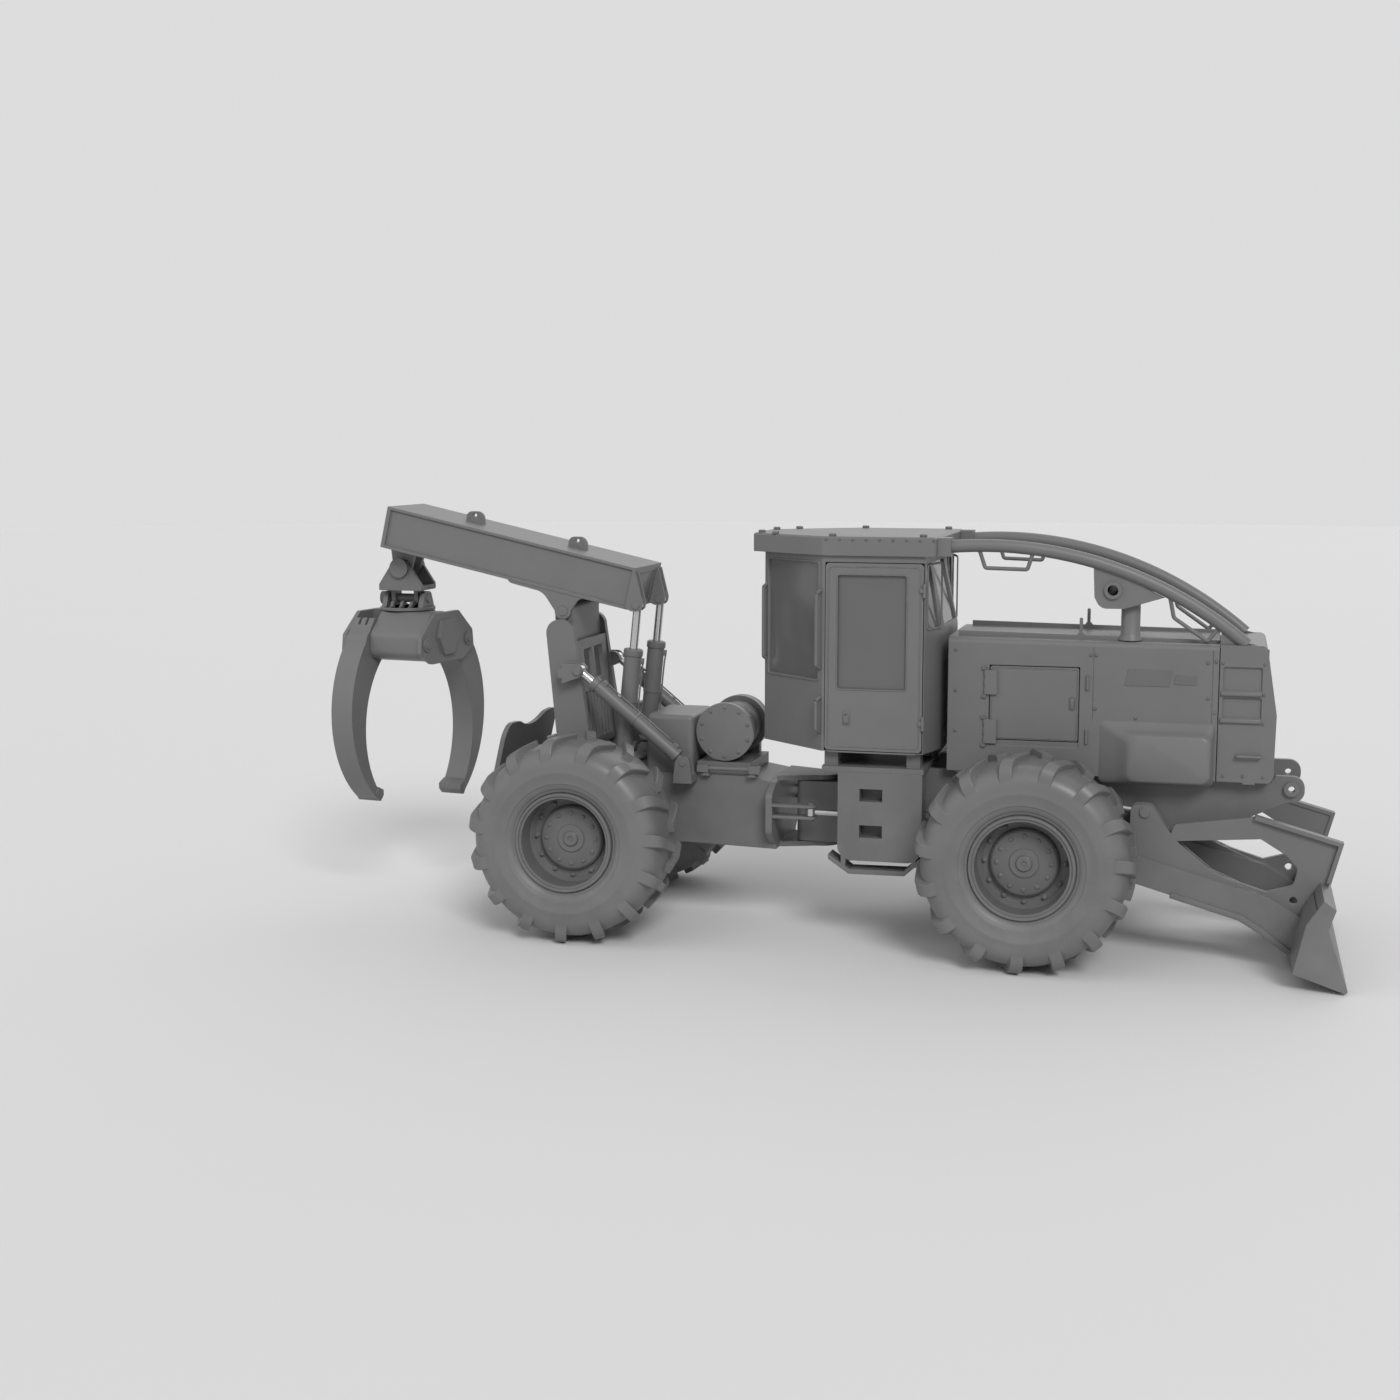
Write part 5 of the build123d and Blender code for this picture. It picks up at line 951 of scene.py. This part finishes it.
def crowned_pad(low, high, thin, channels, along):
    """Crowned cushion between two corners, thin across one axis, with sewn channels across another."""
    spans = [h - l for l, h in zip(low, high)]
    middle = [(h + l) / 2 for l, h in zip(low, high)]
    work = bmesh.new()
    bmesh.ops.create_cube(work, size=2.0)
    bmesh.ops.subdivide_edges(work, edges=work.edges, cuts=27, use_grid_fill=True)
    flat = [axis for axis in range(3) if axis != thin]
    for vert in work.verts:
        size = sum(abs(value) ** 7 for value in vert.co) ** (1 / 7)
        unit = [value / max(size, 1e-6) for value in vert.co]
        u, v = unit[flat[0]], unit[flat[1]]
        crown = 0.80 + 0.20 * (1 - u * u) * (1 - v * v)
        groove = sum(math.exp(-((unit[along] - mark) / 0.035) ** 2) for mark in channels) * 0.10
        edge = max(0.0, 1 - max(abs(u), abs(v)) ** 6)
        unit[thin] *= crown - groove * edge
        unit[flat[0]] *= 1 - 0.035 * (1 - v * v)
        unit[flat[1]] *= 1 - 0.035 * (1 - u * u)
        vert.co = [m + s / 2 * value for m, s, value in zip(middle, spans, unit)]
    return finish_mesh(closed(work, bpy.data.meshes.new("pad")))


def make_seat():
    """Driver's seat with sewn cushions, side consoles with levers, and a bellows under it."""
    pads = {name: new_piece(name, crowned_pad(*values), "front_frame", "seat_cover", 60.0)
            for name, values in SEAT_PADS.items()}
    folds = [1.775 + step * 0.048 for step in range(6)]
    rings = [row for low in folds for row in ((low, 0.150), (low + 0.024, 0.178))]
    bellows = turned_mesh("bellows", [(1.7735, 0.0)] + rings + [(2.063, 0.150), (2.063, 0.0)], 4)
    upright = Matrix.Rotation(math.radians(90), 4, "X") @ Matrix.Rotation(math.radians(45), 4, "Y")
    bellows.transform(Matrix.Translation((0.400, 0.0, 0.0)) @ upright)
    pan = soften(box_mesh("pan", [((0.135, -0.245, 2.058), (0.665, 0.245, 2.090)),
                                  ((0.064, -0.215, 2.170), (0.086, 0.215, 2.880))]), 0.008, 2)
    console = soften(box_mesh("console", [((0.232, 0.262, 2.200), (0.698, 0.368, 2.395))]), 0.022, 3)
    leg = box_mesh("leg", [((0.300, 0.235, 2.060), (0.360, 0.290, 2.210))])
    knob = [(-0.060, 0.0), (-0.060, 0.007), (-0.012, 0.007), (-0.006, 0.016), (0.010, 0.019), (0.022, 0.014),
            (0.026, 0.0)]
    levers = [placed(turned_mesh("lever", knob, 20), (x, y, 2.434), (0.0, 0.0, 1.0))
              for x in (0.560, 0.630) for y in (-0.315, 0.315)]
    shapes = [bellows, pan, both_hands(console), both_hands(leg)] + levers
    seat_shell = new_piece("seat_frame", joined("shell", shapes), "front_frame", "core_dark")
    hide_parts("seat")
    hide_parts("seat")


make_seat()

# Rings of the bulge in millimetres: from and to along, from and to up, corner radius, distance out
BULGE_RINGS = [
    (2515, 3462, 1500, 2035, 45, 610), (2570, 3458, 1506, 2006, 50, 636), (2640, 3450, 1514, 1972, 60, 664),
    (2690, 3444, 1524, 1956, 70, 694), (2728, 3438, 1532, 1943, 76, 720), (2752, 3430, 1538, 1932, 76, 738),
    (2774, 3416, 1552, 1916, 70, 747),
]


def rounded_ring(x0, x1, z0, z1, radius, y):
    """Ring of points round a rectangle with rounded corners, facing sideways."""
    rows = [(x1, z1, radius), (x0, z1, radius), (x0, z0, radius), (x1, z0, radius)]
    return [(x, y / 1000, z) for x, z in rounded(rows)]


def make_hood_forms():
    """Bulge, latches, grab bar, hinges, sight bracket, lips and nose fittings of the hood."""
    bulge = shell("bulge", [rounded_ring(*row) for row in BULGE_RINGS])
    new_piece("hood_bulges", both_hands(bulge), "front_frame", "body_paint", 40.0)
    shapes = [rod_form((2408, 618, height - 62), (2408, 618, height + 62), 14) for height in (1888, 2350)]
    shapes += [block_form((2400, 2416), (608, 622), (height - 16, height + 16)) for height in (1888, 2350)]
    shapes.append(pipe_mesh("grip", [(2.666, y, z) for y, z in (
        (0.606, 1.668), (0.650, 1.668), (0.664, 1.672), (0.664, 1.700), (0.664, 1.770), (0.664, 1.840),
        (0.664, 1.868), (0.650, 1.872), (0.606, 1.872))], 0.0125))
    for low in (1769, 2012, 2194, 2437):
        shapes.append(hinge_rod(low, low + 29))
        shapes.append(block_form((1518, 1545), (609, 630), (low, low + 29)))
    bracket = [(2260, 2695, 0), (2321, 2770, 8), (2321, 2890, 10), (2349, 2890, 10), (2349, 2770, 8),
               (2425, 2695, 0)]
    shapes.append(soften(side_form(bracket, 474, 496), 0.003))
    new_piece("hood_fittings", both_hands(joined("fittings", shapes)), "front_frame", "frame_paint")
    side_lips = both_hands(block_form((3440, 3510), (570, 584), (1612, 2647)))
    top_lip = block_form((3478, 3512), (-570, 570), (2658, 2670))
    new_piece("hood_nose_lip", joined("lips", [side_lips, top_lip]), "front_frame", "frame_paint")
    shapes = []
    for low, high in ((2305, 2518), (2078, 2262)):
        shapes.append(block_form((3505, 3840), (580, 594), (low - 6, high + 6)))
        sill = [(592, low + 34, 0), (636, low + 4, 10), (636, low - 26, 10), (607, low - 30, 0),
                (592, low - 10, 0)]
        shapes.append(soften(cross_form(sill, 3503, 3828), 0.003))
    shapes.append(pipe_mesh("rail", [(x, y, 1.775) for x, y in (
        (3.645, 0.606), (3.645, 0.642), (3.645, 0.656), (3.662, 0.656), (3.740, 0.656), (3.816, 0.656),
        (3.833, 0.656), (3.833, 0.642), (3.833, 0.606))], 0.012))
    new_piece("nose_fittings", both_hands(joined("nose", shapes)), "front_frame", "body_paint")


make_hood_forms()

# Handles under a guard tube, seen from the side in metres, and where the tube starts
HANDLE_PATHS = [
    [(1.488, 3.470), (1.540, 3.315), (1.892, 3.305), (1.938, 3.450)],
    [(3.068, 3.100), (3.106, 2.918), (3.385, 2.724), (3.478, 2.845)],
]
GUARD_TUBE_START = (1.215, -0.743)
GUARD_TUBE_LEAN = 4.5


def make_cab_forms():
    """Bosses on the roof and the handles that hang under the guard tubes."""
    bosses = [rod_form((x, y, 3570), (x, y, 3596), 32, 32, 0.006)
              for x, y in ((-500, 300), (-330, 500), (240, 800), (1020, 780))]
    new_piece("roof_bosses", both_hands(joined("bosses", bosses)), "front_frame", "body_paint")
    handles = []
    for path in HANDLE_PATHS:
        a, b, c, d = [Vector((x, 0.0, z)) for x, z in path]
        route = [a, a.lerp(b, 0.8), b, b.lerp(c, 0.12), b.lerp(c, 0.88), c, d.lerp(c, 0.8), d]
        handles.append(pipe_mesh("handle", route, 0.017, 4))
    x, y = GUARD_TUBE_START
    turn = Matrix.Translation((x, y, 0.0)) @ Matrix.Rotation(math.radians(GUARD_TUBE_LEAN), 4, "Z")
    handle = moved(joined("handles", handles), turn @ Matrix.Translation((-x, 0.0, 0.0)))
    new_piece("guard_handles", both_hands(finish_mesh(handle)), "front_frame", "frame_paint")


make_cab_forms()

# The arch leans back by this much over a metre of height, in millimetres
ARCH_LEAN = 145000 / 1432


def make_arch_forms():
    """Guard panel between the arch's posts, and lifting eyes and front cover on the boom."""
    rows = [(-2140, 1560, 0), (-2140 - ARCH_LEAN, 2560, 0), (-2104 - ARCH_LEAN, 2560, 0), (-2104, 1560, 0)]
    panel = side_form(rows, -431, 431)
    through = (-2440, -1840)
    tools = [block_form(through, (y - 118, y + 118), (2180, 2470)) for y in (-150, 150)]
    tools += [block_form(through, (y - 31, y + 31), (1640, 2080)) for y in range(-288, 289, 96)]
    new_piece("arch_panel", soften(cut(panel, tools), 0.004), "arch", "body_paint")
    eyes = []
    for back in (0.700, 1.740):
        x, y, z = [value * 1000 for value in boom_spot(back, 0.0)]
        rows = [(x - 120, z - 40, 0), (x - 96, z + 8, 0), (x - 84, z + 106, 80), (x + 84, z + 106, 80),
                (x + 96, z - 22, 0), (x + 120, z - 60, 0)]
        eye = cut(side_form(rows, -17, 17), [rod_form((x, -40, z + 70), (x, 40, z + 70), 17)])
        eyes.append(soften(eye, 0.004))
    new_piece("boom_eyes", joined("eyes", eyes), "boom", "body_paint")
    spots = ((0.006, 0.055), (0.022, 0.055), (0.022, 0.330), (0.006, 0.330))
    corners = [boom_spot(back, down) for back, down in spots]
    cover = side_form([(x * 1000, z * 1000, 0) for x, y, z in corners], -236, 236)
    new_piece("boom_front_cover", soften(cover, 0.002), "boom", "body_paint")


make_arch_forms()

# Grapple in millimetres: foot of the swivel disc, middle of the swivel, inner and outer face of a tong
DISC_BASE = 2781
SWIVEL_X = -4055
TONG_FACES = (159, 384)


def make_grapple_forms():
    """Ribs and disc of the yoke, bosses of the head and shoes at the tips of the tongs."""
    rib = [(-108, DISC_BASE + 10, 0), (-108, DISC_BASE + 92, 0), (-144, DISC_BASE + 84, 20),
           (-170, DISC_BASE + 44, 30), (-232, DISC_BASE + 22, 0), (-232, DISC_BASE + 10, 0)]
    ribs = [both_hands(soften(cross_form(rib, x - 14, x + 14), 0.003))
            for x in (SWIVEL_X - 96, SWIVEL_X, SWIVEL_X + 96)]
    disc = rod_form((SWIVEL_X, 0, DISC_BASE), (SWIVEL_X, 0, DISC_BASE + 30), 262, 72, 0.004)
    new_piece("yoke_ribs", joined("ribs", ribs + [disc]), "rotator_yoke", "frame_paint")
    bosses = []
    for low in (-444, 428):
        bosses.append(rod_form((low, 387, 2487), (low + 16, 387, 2487), 66, 36, 0.003))
        bosses.append(rod_form((low - 10, 387, 2487), (low + 26, 387, 2487), 38, 28, 0.004))
    bosses = joined("bosses", bosses)
    bosses = joined("bosses", [on_head(bosses), on_head(bosses, True)])
    new_piece("head_bosses", bosses, "grapple_head", "body_paint")
    tip = [(360, 1100, 0), (262, 1058, 0), (262, 1004, 14), (322, 948, 14), (396, 1040, 20)]
    shoe = soften(cross_form(tip, TONG_FACES[0] - 9, TONG_FACES[1] + 9), 0.004)
    for opposite, hand in ((False, "left"), (True, "right")):
        new_piece("tong_shoe_" + hand, on_head(shoe, opposite), "tong_" + hand, "cast_parts")


make_grapple_forms()


def make_blade_forms():
    """Foot flanges under the push arms."""
    rows = [(3150, 614, 0), (3735, 452, 120), (3900, 352, 120), (4140, 180, 0),
            (4112, 142, 0), (3872, 312, 120), (3705, 412, 120), (3140, 570, 0)]
    new_piece("arm_flanges", both_hands(soften(side_form(rows, 562, 784), 0.003)), "blade", "body_paint")


make_blade_forms()


def make_floor():
    """A wide plain disc that the machine stands on."""
    angles = [2 * math.pi * step / 96 for step in range(96)]
    ring = [(FLOOR_RADIUS * math.cos(angle), FLOOR_RADIUS * math.sin(angle), cad_low.z) for angle in angles]
    mesh = bpy.data.meshes.new("floor")
    mesh.from_pydata(ring, [], [tuple(range(len(ring)))])
    floor = added("floor", mesh)
    material, tree, surface = new_material("pale_floor")
    slow = tree.out("Variation", "ShaderNodeGroup", {"Waviness": 0.3}, node_tree=GRAIN)
    tone = tree.colours(slow, grey(FLOOR_TONE * 0.985), grey(FLOOR_TONE))
    tree.fill(surface, {"Base Color": tone, "Roughness": 0.8})
    mesh.materials.append(material)


def make_world():
    """A pale even sky that lights the machine softly and shows as the background."""
    world = bpy.data.worlds.new("studio")
    world.use_nodes = True
    bpy.context.scene.world = world
    tree = Tree(world.node_tree)
    light = world.node_tree.nodes["Background"]
    tree.fill(light, {"Color": grey(1.0), "Strength": SKY_STRENGTH})
    seen = tree.out("Background", "ShaderNodeBackground", {"Color": grey(SKY_TONE), "Strength": 1.0})
    rays = tree.add("ShaderNodeLightPath").outputs
    first = tree.figure("MAXIMUM", rays["Is Camera Ray"], rays["Is Glossy Ray"])
    direct = tree.figure("MAXIMUM", first, rays["Is Transmission Ray"])
    mix = tree.out("Shader", "ShaderNodeMixShader", {"Fac": direct, 1: light.outputs["Background"], 2: seen})
    tree.fill(world.node_tree.nodes["World Output"], {"Surface": mix})


def add_sun(name, azimuth, height, strength, spread):
    """A soft sun that shines from an azimuth and a height, in degrees."""
    light = bpy.data.lights.new(name, "SUN")
    light.energy = strength
    light.angle = math.radians(spread)
    holder = added(name, light)
    holder.location = (0.0, 0.0, 12.0)
    holder.rotation_euler = (math.radians(90 - height), 0.0, math.radians(azimuth + 90))


def make_camera():
    lens = bpy.data.cameras.new("photo_camera")
    lens.lens = CAMERA_LENS
    lens.sensor_width = CAMERA_SENSOR
    lens.clip_end = 200.0
    camera = added("photo_camera", lens)
    camera.location = CAMERA_PLACE
    camera.rotation_euler = (math.radians(CAMERA_PITCH), 0.0, math.radians(CAMERA_YAW))
    bpy.context.scene.camera = camera


make_floor()
make_world()
for lamp in LAMPS:
    add_sun(**lamp)
make_camera()
bpy.context.scene.view_settings.view_transform = "Standard"
